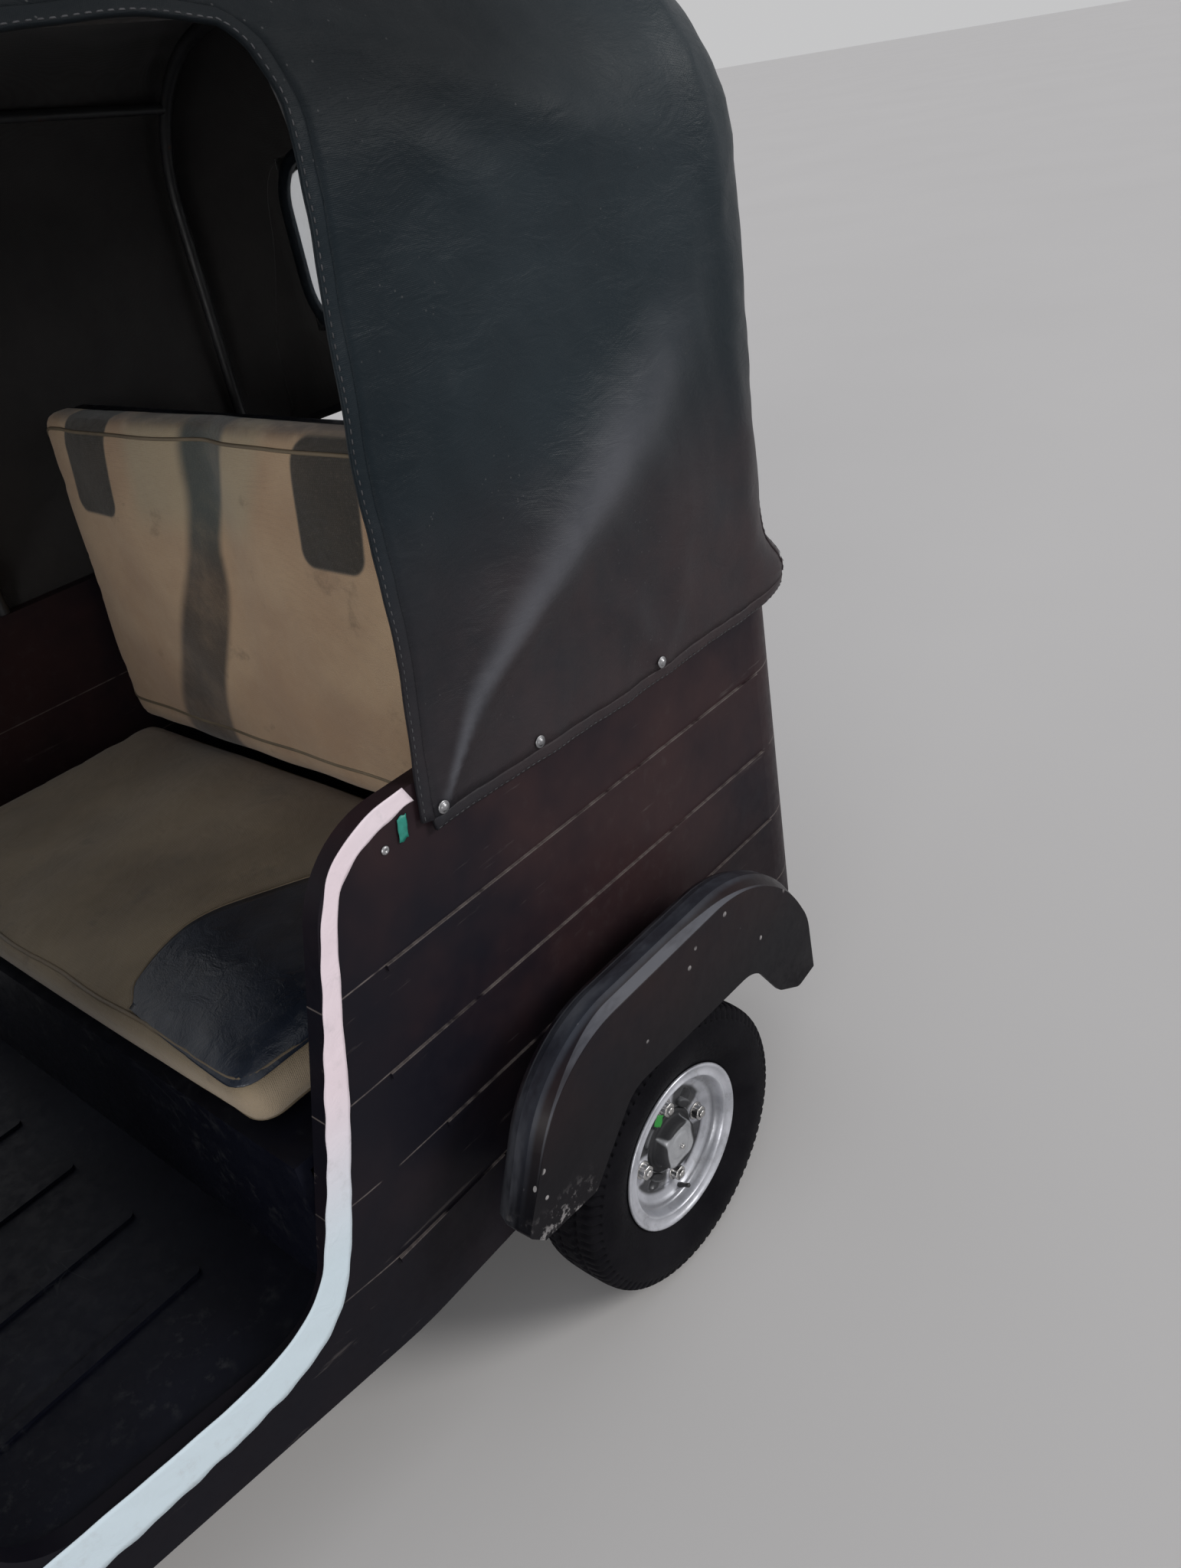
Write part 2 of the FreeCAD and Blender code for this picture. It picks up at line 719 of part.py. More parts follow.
cushion("bench_cushion", (-d.seat_half, d.seat_front_y, d.seat_low_z),
        (2 * d.seat_half, d.back_y - d.seat_front_y - 2, d.seat_top_z - d.seat_low_z), 28)
cushion("bench_backrest", (-d.backrest_half, d.back_y, d.seat_low_z + 2),
        (2 * d.backrest_half, d.back_depth, d.back_top_z - d.seat_low_z - 2), 24)
cushion("driver_cushion", (-215, -395, 570), (430, 360, 80), 24)
cushion("driver_backrest", (-190, -75, 690), (380, 44, 220), 18)


def driver_base():
    """The open-fronted box under the driver's seat, and the plate behind the driver's back."""
    base = body("driver_seat_box")
    plan = sketch_on(base, "driver_box_plan", "XY_Plane", d.floor_z)
    outline(plan, [(-200, -370, 12), (200, -370, 12), (200, -46, 12), (-200, -46, 12)])
    pad(base, plan, 240, "XY_Plane")
    inside = sketch_on(base, "driver_box_inside", "XY_Plane", d.floor_z)
    outline(inside, [(-188, -358, 0), (188, -358, 0), (188, -58, 0), (-188, -58, 0)])
    pocket(base, inside, 440)
    window = sketch_on(base, "driver_box_window", "YZ_Plane")
    outline(window, [(-330, 380, 20), (-110, 380, 20), (-110, 500, 20), (-330, 500, 20)])
    pocket(base, window)
    stand = box("driver_back_stand", (-120, -31, 520), (240, 5, 360))
    foot = box("driver_back_foot", (-120, -50, 530), (240, 20, 12))
    keep(fuse("driver_seat_base", [base, stand, foot]), "driver_seat_base")


driver_base()


# Front cowl and windscreen: plan rings lofted up the leaning front of the cab



def cab_ring(z, inset, rear_y):
    """A closed plan ring of the cab at a height: flat back, straight sides, round nose."""
    low_z = float(d.sill_low_z)
    top_z = float(d.cowl_top_z)
    roof_z = float(d.screen_top_z)
    # Ring stations: height, side x, side y, corner x, corner y, nose y
    stations = [
        (low_z, 392, -790, 270, -1000, float(d.nose_y)),
        (top_z, 412, -830, 335, -955, float(d.screen_low_y)),
        (roof_z, 402, -700, 325, -800, float(d.screen_high_y)),
    ]
    for lower, upper in zip(stations, stations[1:]):
        if z <= upper[0] or upper is stations[-1]:
            share = (z - lower[0]) / (upper[0] - lower[0])
            side_x, side_y, corner_x, corner_y, nose_y = [
                a + (b - a) * share for a, b in zip(lower[1:], upper[1:])
            ]
            break
    rear_x = float(d.sill_front_x) + 5 - inset
    side_x -= inset
    corner_x -= inset * 0.6
    corner_y += inset * 0.85
    nose_y += inset
    mid_x = (side_x + corner_x) / 2 + 14
    mid_y = (side_y + corner_y) / 2 - 14
    left = [V(rear_x, rear_y, z), V(side_x, side_y, z), V(mid_x, mid_y, z), V(corner_x, corner_y, z)]
    right = [V(-p.x, p.y, p.z) for p in left]
    nose = V(0, nose_y, z)
    edges = [
        Part.LineSegment(left[0], left[1]),
        Part.Arc(left[1], left[2], left[3]),
        Part.Arc(left[3], nose, right[3]),
        Part.Arc(right[3], right[2], right[1]),
        Part.LineSegment(right[1], right[0]),
        Part.LineSegment(right[0], left[0]),
    ]
    return Part.Wire([e.toShape() for e in edges])


def cab_block(low, high, inset, rear_y=None):
    """The solid inside the cab's skin between two heights."""
    rear_y = float(d.sill_front_y) if rear_y is None else rear_y
    return Part.makeLoft([cab_ring(low, inset, rear_y), cab_ring(high, inset, rear_y)], True, True)


def side_prism(corners, half=700):
    """A block across the vehicle with a side-view outline of (y, z) corners."""
    points = [V(-half, float(y), float(z)) for y, z in corners]
    face = Part.Face(Part.makePolygon(points + points[:1]))
    return face.extrude(V(2 * half, 0, 0))


def front_prism(wide, low, high, radius, near, far):
    """A block along the vehicle with a rounded rectangle as its front view."""
    block = Part.makeBox(2 * wide, far - near, high - low, V(-wide, near, low))
    upright = [
        e for e in block.Edges
        if abs(e.tangentAt(e.FirstParameter).y) > 0.9
    ]
    return block.makeFillet(radius, upright)


def cowl():
    low, high = float(d.sill_low_z), float(d.cowl_top_z)
    wall = float(d.cowl_wall)
    outer = cab_block(low, high, 0)
    inner = cab_block(low - 1, high + 1, wall, float(d.sill_front_y) + 1)
    view = side_prism([
        (-600, 230), (-760, 230), (-905, 482), (-1120, 500), (-1120, 1000), (-745, 1000),
        (-712, 700), (-668, 420), (-640, 366), (-600, 343),
    ])
    shell = outer.cut(inner).common(view)
    lamp_hole = Part.makeCylinder(88, 200, V(0, -1150, 860), V(0, 1, 0))
    keep(shaped("front_cowl", shell.cut(lamp_hole)), "front_cowl")


cowl()


def cab_inside(gap=1):
    """The space within the cowl's walls."""
    return cab_block(float(d.sill_low_z), float(d.cowl_top_z), float(d.cowl_wall) + gap)


def dashboard():
    """A shelf across the cowl, with a round instrument pod in its middle."""
    shelf = cab_inside().common(Part.makeBox(900, 130, 75, V(-450, -1010, 912)))
    pod = Part.makeCylinder(44, 44, V(0, -914, 978), V(0, 0.6, 0.8))
    keep(shaped("dashboard", shelf.fuse(pod).removeSplitter()), "dashboard")


dashboard()


# Steering: everything on the raked axis

RAKE = math.radians(float(d.steer_rake))
AXIS = V(0, math.sin(RAKE), math.cos(RAKE))
AXIS_FOOT = V(0, float(front_axle_y) - float(d.steer_lead), float(d.tyre_radius))


def on_axis(z):
    """The steering axis's point at a height."""
    return AXIS_FOOT + AXIS * ((z - AXIS_FOOT.z) / AXIS.z)


def steering():
    bar_z = float(d.bar_z)
    column = [
        Part.makeCylinder(float(d.column_radius), (on_axis(bar_z - 16) - on_axis(470)).Length,
                          on_axis(470), AXIS),
        Part.makeCylinder(34, 18, on_axis(462), AXIS),
    ]
    keep(shaped("steering_column", column[0].fuse(column[1]).removeSplitter()), "steering_column")

    top = on_axis(bar_z)
    left = [(0, top.y, bar_z + 8), (70, top.y, bar_z + 8), (130, top.y + 8, bar_z + 20),
            (245, top.y + 70, bar_z + 20)]
    right = [(-x, y, z) for x, y, z in left]
    bar = tube("handlebar_tube", list(reversed(right)) + left[1:], d.bar_radius)
    clamp = Part.makeCylinder(27, 44, on_axis(bar_z - 16), AXIS)
    keep(shaped("handlebar", bar.Shape.fuse(clamp).removeSplitter()), "handlebar")
    doc.removeObject(bar.Name)

    grips = []
    for points in (left, right):
        start, end = V(*points[2]), V(*points[3])
        along = (end - start).normalize()
        sleeve = Part.makeCylinder(17, 106, end - along * 104, along)
        grips.append(sleeve.cut(Part.makeCylinder(float(d.bar_radius), 104, end - along * 104, along)))
        hub = end - along * 128
        shell = Part.makeCylinder(20, 22, hub, along)
        grips.append(shell.cut(Part.makeCylinder(float(d.bar_radius), 22, hub, along)))
    keep(shaped("handlebar_grips", Part.makeCompound(grips)), "handlebar_grips")

    head = Part.makeCylinder(32, 300, on_axis(570), AXIS)
    head = head.cut(Part.makeCylinder(float(d.column_radius) + 1.5, 400, on_axis(540), AXIS))
    inside = cab_inside()
    bore = Part.makeCylinder(31, 500, on_axis(500), AXIS)
    shelves = []
    for z in (600, 780):
        plate = Part.makeBox(240, 200, 14, V(-120, -1080, z))
        reach = side_prism([(-1100, z - 5), (on_axis(z).y + 20, z - 5),
                            (on_axis(z).y + 20, z + 30), (-1100, z + 30)])
        shelves.append(inside.common(plate).common(reach).cut(bore))
    keep(shaped("steering_head", head.multiFuse(shelves).removeSplitter()), "steering_head")


steering()

ARM_X = -102


def front_suspension():
    """One-sided arm from the column's foot to a trailing link, as on scooters, with its damper."""
    axle = V(0, float(front_axle_y), float(d.tyre_radius))
    foot = on_axis(464)
    arm = tube("fork_tube", [
        foot, (ARM_X * 0.6, foot.y - 4, 456), (ARM_X, foot.y - 22, 430),
        (ARM_X, axle.y - 40, 330), (ARM_X, axle.y - 92, 250),
    ], 15)
    pivot = Part.makeCylinder(22, 34, V(ARM_X - 17, axle.y - 92, 250), V(1, 0, 0))
    stay = Part.makeBox(40, 40, 8, V(ARM_X - 4, axle.y - 2, 404))
    clevis = Part.makeBox(18, 18, 30, V(ARM_X - 9, axle.y + 29, 372))
    whole = arm.Shape.multiFuse([pivot, stay, clevis]).cut(nodes["steering_column"].Shape)
    keep(shaped("fork_arm", whole.removeSplitter()), "fork_arm")
    doc.removeObject(arm.Name)

    reach = V(ARM_X + 20, axle.y, axle.z)
    link = [
        Part.makeBox(14, 138, 30, V(ARM_X + 20, axle.y - 96, 224)),
        Part.makeCylinder(24, 14, reach, V(1, 0, 0)),
        Part.makeCylinder(AXLE_RADIUS, 90, reach, V(1, 0, 0)),
    ]
    keep(shaped("front_link", link[0].multiFuse(link[1:]).removeSplitter()), "front_link")

    low = V(ARM_X, axle.y + 38, 236)
    damper = Part.makeCylinder(9, 136, low)
    coil = Part.makeCylinder(17, 84, low + V(0, 0, 34))
    eye = Part.makeCylinder(11, 28, V(ARM_X - 8, low.y, low.z), V(1, 0, 0))
    keep(shaped("front_damper", damper.multiFuse([coil, eye]).removeSplitter()), "front_damper")


front_suspension()


def front_mudguard():
    """An arched guard turned about the axle, over the front wheel."""
    guard = body("front_mudguard")
    section = sketch_on(guard, "guard_section", "XY_Plane")
    outline(section, [
        (-66, 188, 0), (-66, 225, 22), (66, 225, 22), (66, 188, 0),
        (62, 188, 0), (62, 221, 18), (-62, 221, 18), (-62, 188, 0),
    ])
    revolve(guard, section, angle=150)
    # The front end's turned-out lip, drawn about the axle as it stands and leant back with the arc
    lean = math.radians(30)
    lip = sketch_on(guard, "guard_lip", "YZ_Plane")
    outline(lip, [
        (y * math.cos(lean) + z * math.sin(lean), z * math.cos(lean) - y * math.sin(lean), r)
        for y, z, r in (
            (-219, 30, 0), (-222.8, 30, 0), (-225, 0, 60), (-236, -34, 24), (-275, -56, 0),
            (-275, -60, 0), (-233, -38, 28), (-221, 0, 56),
        )
    ])
    pad(guard, lip, 104, "YZ_Plane", both=True)
    place(guard, (0, front_axle_y, d.tyre_radius), FreeCAD.Rotation(V(1, 0, 0), 30))
    keep(guard, "front_mudguard")


front_mudguard()


# Rear mudguards: side-view outlines lofted outwards from the body, hollowed from below

# Corners of a guard's outline: y, z and rounding at the body, at the crest and at the skirt
GUARD_CORNERS = [
    ((715, 296, 0), (643, 296, 0), (635, 296, 0)),
    ((668, 376, 6), (566, 376, 8), (567, 376, 8)),
    ((752, 464, 40), (657, 573, 180), (665, 558, 174)),
    ((1022, 464, 60), (1106, 573, 220), (1098, 558, 212)),
    ((1090, 400, 60), (1181, 412, 94), (1175, 410, 90)),
    ((1102, 296, 0), (1182, 296, 0), (1181, 296, 0)),
]
# The skirt's lower edge, as the outline of what is taken away below it: y, z, rounding
GUARD_CUTOUT = [
    (530, 280, 0), (585, 351, 0), (680, 341, 12), (772, 428, 55), (1040, 415, 55),
    (1090, 338, 40), (1138, 309, 20), (1200, 319, 0), (1200, 280, 0),
]
# Sections: outwards from the body, outline at the outer end of the blend, share of that blend
GUARD_SECTIONS = [(0, 1, 0), (70, 1, 0.93), (88, 1, 1), (106, 1, 1), (124, 2, 1)]


def rounded_wire(x, corners):
    """A closed side-view wire at x, through corners of (y, z, rounding)."""
    spots = [V(y, z, 0) for y, z, r in corners]
    runs = []
    for i, (y, z, r) in enumerate(corners):
        if r > 0:
            start, end, centre, left = corner_arc(spots[i - 1], spots[i], spots[(i + 1) % len(spots)], r)
            runs.append((start, centre + (spots[i] - centre).normalize() * r, end))
        else:
            runs.append((spots[i], None, spots[i]))
    edges = []
    for run, following in zip(runs, runs[1:] + runs[:1]):
        start, middle, end = [p and V(x, p.x, p.y) for p in run]
        if middle:
            edges.append(Part.Arc(start, middle, end).toShape())
        ahead = following[0]
        edges.append(Part.LineSegment(end, V(x, ahead.x, ahead.y)).toShape())
    return Part.Wire(edges)


def guard_loft(inset, foot_z=None):
    """The solid within the guard's outer face, shrunk by an inset and reaching down to foot_z."""
    start = float(d.side_x) + 1
    reach = float(d.guard_x) - start - inset
    wires = []
    for step, column, share in ([(-8, 1, 0)] if inset else []) + GUARD_SECTIONS:
        corners = []
        for corner in GUARD_CORNERS:
            y, z, r = [a + (b - a) * share for a, b in zip(corner[0], corner[column])]
            drop = inset if corner in GUARD_CORNERS[2:4] else 0
            corners.append((y + (inset if y < 879 else -inset), z - drop, max(r - inset, 0)))
        for foot, beside in ((0, 1), (-1, -2)) if foot_z else ():
            y, z, r = corners[foot]
            near_y, near_z, near_r = corners[beside]
            corners[foot] = (near_y + (y - near_y) * (near_z - foot_z) / (near_z - z), foot_z, 0)
        wires.append(rounded_wire(start + min(step, reach), corners))
    return Part.makeLoft(wires, True, True)


def rear_mudguards():
    below = Part.Face(rounded_wire(500, GUARD_CUTOUT)).extrude(V(200, 0, 0))
    shape = guard_loft(0).cut(guard_loft(float(d.guard_thick), 270.0)).cut(below)
    left = keep(shaped("rear_mudguard_left", shape), "rear_mudguard_left")
    keep(mirror("rear_mudguard_right", left), "rear_mudguard_right")


rear_mudguards()


# Rear running gear

def mirrored(shapes):
    """The shapes and their copies across the centre line, as one compound."""
    both = []
    for shape in shapes:
        both.append(shape)
        both.append(shape.mirror(V(0, 0, 0), V(1, 0, 0)))
    return Part.makeCompound(both)


def rear_running_gear():
    axle = V(0, float(d.rear_axle_y), float(d.tyre_radius))
    inboard = float(d.wheel_x) - 62 - 8
    arm = tube("arm_tube", [(414, 465, 275), (440, 640, 240), (inboard - 26, axle.y, axle.z)], 22)
    stub = Part.makeCylinder(AXLE_RADIUS, float(d.wheel_x) + 20 - inboard + 30,
                             V(inboard - 30, axle.y, axle.z), V(1, 0, 0))
    plate = Part.makeCylinder(60, 8, V(inboard - 6, axle.y, axle.z), V(1, 0, 0))
    bush = Part.makeCylinder(26, 44, V(392, 465, 275), V(1, 0, 0))
    whole = arm.Shape.multiFuse([stub, plate, bush]).removeSplitter()
    doc.removeObject(arm.Name)
    keep(shaped("rear_arms", mirrored([whole])), "rear_arms")

    low, high = V(452, axle.y - 74, 246), V(420, axle.y - 50, 526)
    along = high - low
    rod = Part.makeCylinder(10, along.Length, low, along)
    coil = Part.makeCylinder(32, along.Length * 0.55, low + along * 0.3, along)
    top = Part.makeCylinder(20, 4, V(high.x, high.y, 525), V(0, 0, 1))
    damper = rod.multiFuse([coil, top]).common(Part.makeBox(200, 300, 300, V(360, 700, 229)))
    keep(shaped("rear_dampers", mirrored([damper.removeSplitter()])), "rear_dampers")

    shaft = Part.makeCylinder(11, inboard - 56 - 174, V(174, axle.y + 2, 232), V(1, 0, -0.06))
    boot = Part.makeCone(36, 18, 60, V(168, axle.y + 2, 232), V(1, 0, -0.06))
    keep(shaped("drive_shafts", mirrored([shaft.fuse(boot).removeSplitter()])), "drive_shafts")

    block = body("engine_block")
    plan = sketch_on(block, "engine_plan", "XY_Plane", 190)
    outline(plan, [(-165, 850, 20), (165, 850, 20), (165, 1180, 20), (-165, 1180, 20)])
    pad(block, plan, 300, "XY_Plane")
    keep(block, "engine_block")

    can = Part.makeCylinder(52, 330, V(-150, 1295, 240), V(1, 0, 0))
    pipe = tube("exhaust_pipe", [(210, 1150, 240), (210, 1295, 240), (150, 1295, 240)], 15)
    inlet = Part.makeCylinder(15, 45, V(165, 1150, 240), V(1, 0, 0))
    tail = tube("exhaust_tail", [(-145, 1312, 240), (-215, 1312, 232), (-215, 1372, 222)], 13)
    elbow = Part.makeSphere(15, V(210, 1150, 240))
    whole = can.multiFuse([pipe.Shape, tail.Shape, inlet, elbow]).removeSplitter()
    for piece in (pipe, tail):
        doc.removeObject(piece.Name)
    keep(shaped("silencer", whole), "silencer")


rear_running_gear()


# Hood: arched sections along the vehicle, hollowed, with the doorways and window cut

# Hood stations: y, half width, shoulder radius, crown height
HOOD_STATIONS = [
    (-862, 420, 100, 1628),
    (-30, 473, 150, 1700),
    (640, 532, 220, 1705),
    (1396, 532, 262, 1655),
]
SHOULDER_SWEEP = math.radians(78)


def hood_at(y):
    """Half width, shoulder radius and crown height of the hood at y."""
    for near, far in zip(HOOD_STATIONS, HOOD_STATIONS[1:]):
        if y <= far[0] or far is HOOD_STATIONS[-1]:
            share = (y - near[0]) / (far[0] - near[0])
            return [a + (b - a) * share for a, b in zip(near[1:], far[1:])]


def hood_point(y, angle, inset):
    """A point on the hood's shoulder, inset from its outer face; angle 0 faces sideways."""
    half, radius, crown = hood_at(y)
    # The crown's arc meets the shoulder's smoothly
    chord = half - radius + radius * math.cos(SHOULDER_SWEEP)
    rise = chord * math.tan((math.pi / 2 - SHOULDER_SWEEP) / 2)
    foot = crown - rise - radius * math.sin(SHOULDER_SWEEP)
    reach = radius - inset
    return V(half - radius + reach * math.cos(angle), y, foot + reach * math.sin(angle))


def hood_arch(y, inset):
    """The edges of the hood's arch at y, from the left side's foot to the right side's."""
    start = hood_point(y, 0, inset)
    middle = hood_point(y, SHOULDER_SWEEP / 2, inset)
    end = hood_point(y, SHOULDER_SWEEP, inset)
    crown = V(0, y, hood_at(y)[2] - inset)
    flip = [V(-p.x, p.y, p.z) for p in (start, middle, end)]
    return start, flip[0], [
        Part.Arc(start, middle, end).toShape(),
        Part.Arc(end, crown, flip[2]).toShape(),
        Part.Arc(flip[2], flip[1], flip[0]).toShape(),
    ]


def hood_ring(y, inset, low, at_y=None):
    """The closed section of the hood at a station, moved along to at_y if it is given."""
    left, right, arch = hood_arch(y, inset)
    foot_left, foot_right = V(left.x, y, low), V(right.x, y, low)
    sides = [
        Part.LineSegment(foot_left, left).toShape(), *arch,
        Part.LineSegment(right, foot_right).toShape(),
        Part.LineSegment(foot_right, foot_left).toShape(),
    ]
    ring = Part.Wire(sides)
    if at_y is not None:
        ring.translate(V(0, at_y - y, 0))
    return ring


def hood_block(inset, low, start_y, end_y):
    ys = [station[0] for station in HOOD_STATIONS]
    rings = [hood_ring(ys[0], inset, low, start_y)]
    rings += [hood_ring(y, inset, low) for y in ys[1:-1]]
    rings.append(hood_ring(ys[-1], inset, low, end_y))
    block = Part.makeLoft(rings, True, True)
    # The back's upright corners and its top edge are rounded in plan and in side view
    half = float(d.hood_x) - inset
    plan = Part.makeBox(2 * half, end_y - start_y, 1000, V(-half, start_y, low - 5))
    upright = [
        e for e in plan.Edges
        if abs(e.tangentAt(e.FirstParameter).z) > 0.9 and e.CenterOfMass.y > end_y - 1
    ]
    plan = plan.makeFillet(float(d.corner_radius) + 8 - inset, upright)
    top = HOOD_STATIONS[-1][3] + 60
    side = side_prism([
        (start_y - 1, low - 5), (end_y, low - 5), (end_y, top - 190), (end_y - 60, top - 66),
        (end_y - 160, top + 20), (start_y - 1, top + 20),
    ])
    return block.common(plan).common(side)


def windscreen():
    low, high = float(d.cowl_top_z), float(d.screen_top_z)
    outer = cab_block(low, high + 90, 0)
    inner = cab_block(low - 1, high + 91, 22, float(d.sill_front_y) + 1)
    view = side_prism([(-1100, low), (-1100, high + 90), (-735, high + 90), (-800, low)])
    opening = front_prism(345, 1052, 1508, 55, -1100, -760)
    ring = outer.cut(inner).common(view).cut(opening)
    # The frame's top follows the underside of the hood
    above = Part.makeBox(1000, 400, 300, V(-500, -1000, 1520)).cut(
        hood_block(float(d.hood_thick) + 1, 1400, -1000, float(d.hood_rear_y)))
    keep(shaped("windscreen_frame", ring.cut(above)), "windscreen_frame")
    pane = cab_block(low, high, 8).cut(cab_block(low - 1, high + 1, 14, float(d.sill_front_y) + 1))
    keep(shaped("windscreen_glass", pane.common(opening)), "windscreen_glass")


windscreen()


def hood():
    thick = float(d.hood_thick)
    rear = float(d.hood_rear_y)
    front = float(d.hood_front_y)
    hem = float(d.hood_hem_z)
    outer = hood_block(0, hem, front, rear)
    inner = hood_block(thick, hem - 10, front - 5, rear - thick - 2)
    skin = outer.cut(inner)
    doorways = side_prism([
        (front - 30, hem - 10), (672, hem - 10), (682, 884), (700, 1000), (706, 1200),
        (730, 1440), (737, 1495), (724, 1544), (704, 1565), (640, 1580), (0, 1586),
        (front - 30, 1556),
    ])
    skin = skin.cut(doorways)
    # The hem of the back hangs clear of the body in a shallow arch
    hem_back = [(-515, 810), (-500, 900), (-434, 1010), (-255, 1058), (0, 1072),
                (255, 1058), (434, 1010), (500, 900), (515, 810)]
    points = [V(x, 1288, z) for x, z in hem_back]
    gap = Part.Face(Part.makePolygon(points + points[:1])).extrude(V(0, 160, 0))
    window = front_prism(380, 1165, 1428, 75, 1350, 1450)
    skin = skin.cut(gap).cut(window)
    keep(shaped("hood_canopy", skin), "hood_canopy")
    pane = Part.makeBox(2 * 382, 2, 267, V(-382, rear - thick - 4.3, 1163))
    keep(shaped("rear_window", pane), "rear_window")


hood()


def hood_frame():
    """Three hoops and the rails between them, which carry the canvas."""
    radius = float(d.hoop_radius)
    inset = float(d.hood_thick) + radius + 3
    solids = []
    # Hoops: y, foot's height
    for y, foot_z in ((-30, d.post_top_z), (745, d.body_top_z), (1270, d.body_top_z)):
        left, right, arch = hood_arch(y, inset)
        foot = V(left.x, y, float(foot_z))
        path = Part.Wire([
            Part.LineSegment(foot, left).toShape(), *arch,
            Part.LineSegment(right, V(right.x, y, float(foot_z))).toShape(),
        ])
        section = Part.Wire(Part.makeCircle(radius, foot, V(0, 0, 1)))
        solids.append(path.makePipeShell([section], True, False))
    angle = math.radians(38)
    ys = (-720, -400, -30, 350, 745, 1000, 1270)
    rail = [hood_point(y, angle, inset) for y in ys]
    bars = tube("rail", rail, 8)
    solids += [bars.Shape, bars.Shape.mirror(V(0, 0, 0), V(1, 0, 0))]
    doc.removeObject(bars.Name)
    post = hood_point(-30, 0, inset)
    grab = Part.makeCylinder(8, 2 * post.x, V(-post.x, post.y, 926), V(1, 0, 0))
    solids.append(grab)
    head = hood_point(-720, angle, inset)
    solids.append(Part.makeCylinder(6, 2 * head.x, V(-head.x, head.y, head.z), V(1, 0, 0)))
    keep(shaped("hood_frame", solids[0].multiFuse(solids[1:])), "hood_frame")


hood_frame()


# Lamps and small fittings

def lamps():
    bezel = Part.makeCylinder(87, 40, V(0, -1075, 860), V(0, 1, 0))
    bowl = Part.makeCylinder(74, 34, V(0, -1076, 860), V(0, 1, 0))
    keep(shaped("headlamp", bezel.cut(bowl)), "headlamp")
    lens = Part.makeCylinder(73.5, 10, V(0, -1070, 860), V(0, 1, 0))
    dome = Part.makeSphere(170, V(0, -908, 860)).common(
        Part.makeCylinder(73.5, 60, V(0, -1085, 860), V(0, 1, 0)))
    keep(shaped("headlamp_lens", lens.fuse(dome.common(
        Part.makeBox(200, 20, 200, V(-100, -1080, 760)))).removeSplitter()), "headlamp_lens")
    low, high = float(d.sill_low_z), float(d.cowl_top_z)
    proud = cab_block(low, high, -14).cut(cab_block(low, high, 0))
    spots = [Part.makeCylinder(34, 200, V(s * 245, -1150, 860), V(0, 1, 0)) for s in (1, -1)]
    keep(shaped("front_indicators", Part.makeCompound([proud.common(s) for s in spots])),
         "front_indicators")
    rear = float(d.body_rear_y)
    tails = []
    for x in (330, -404):
        lens_box = Part.makeBox(74, 11, 150, V(x, rear, 560))
        back_edges = [e for e in lens_box.Edges if e.CenterOfMass.y > rear + 10]
        tails.append(lens_box.makeFillet(5, back_edges))
    keep(shaped("tail_lamps", Part.makeCompound(tails)), "tail_lamps")


lamps()


def fittings():
    mirrors = []
    for sign in (1, -1):
        route = [(411.5, -800, 1090), (428, -800, 1092), (470, -830, 1120), (520, -835, 1190)]
        arm = tube("mirror_arm", [(sign * x, y, z) for x, y, z in route], 6)
        head = Part.makeBox(150, 22, 95, V(sign * 545 - 75, -846, 1185))
        head = head.makeFillet(9, head.Edges)
        mirrors.append(arm.Shape.fuse(head).removeSplitter())
        doc.removeObject(arm.Name)
    keep(shaped("mirrors", Part.makeCompound(mirrors)), "mirrors")
    pedal = tube("pedal_arm", [(120, -780, 330), (120, -780, 350), (120, -800, 400)], 7)
    pad_plate = Part.makeBox(70, 10, 50, V(85, -808, 396))
    keep(shaped("brake_pedal", pedal.Shape.fuse(pad_plate).removeSplitter()), "brake_pedal")
    doc.removeObject(pedal.Name)


fittings()


# Every object is checked before anything is written

doc.recompute()
failed = [o.Name for o in doc.Objects if set(o.State) & {"Invalid", "Error"}]
for label, thing in nodes.items():
    shape = thing.Shape
    if shape.isNull() or not shape.isValid() or not shape.Solids:
        failed.append(label)
if failed:
    raise RuntimeError("these failed: %s" % ", ".join(failed))

os.makedirs("parts", exist_ok=True)
for label, thing in nodes.items():
    thing.Shape.exportStep(os.path.join("parts", label + ".step"))
print("%d sub-parts written" % len(nodes))
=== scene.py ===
import functools
import json
import math

import bpy
import bmesh
import numpy as np
from mathutils import Matrix, Vector
from mathutils.bvhtree import BVHTree


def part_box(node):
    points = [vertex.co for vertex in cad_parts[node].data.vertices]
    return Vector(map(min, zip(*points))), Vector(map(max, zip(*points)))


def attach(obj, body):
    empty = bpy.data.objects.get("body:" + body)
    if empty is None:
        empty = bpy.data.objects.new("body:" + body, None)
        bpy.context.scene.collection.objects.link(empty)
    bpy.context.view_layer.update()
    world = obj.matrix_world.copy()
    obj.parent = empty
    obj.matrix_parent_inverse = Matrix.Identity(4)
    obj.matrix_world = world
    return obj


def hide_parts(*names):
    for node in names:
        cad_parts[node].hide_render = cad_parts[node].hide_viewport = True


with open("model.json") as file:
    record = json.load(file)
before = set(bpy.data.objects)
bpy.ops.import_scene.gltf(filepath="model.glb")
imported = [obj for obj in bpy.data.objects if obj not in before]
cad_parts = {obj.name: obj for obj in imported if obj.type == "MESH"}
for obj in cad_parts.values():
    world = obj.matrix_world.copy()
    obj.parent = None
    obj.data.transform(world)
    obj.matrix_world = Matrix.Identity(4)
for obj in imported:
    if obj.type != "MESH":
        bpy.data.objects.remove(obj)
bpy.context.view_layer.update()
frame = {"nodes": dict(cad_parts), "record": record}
NODES = frame["nodes"]
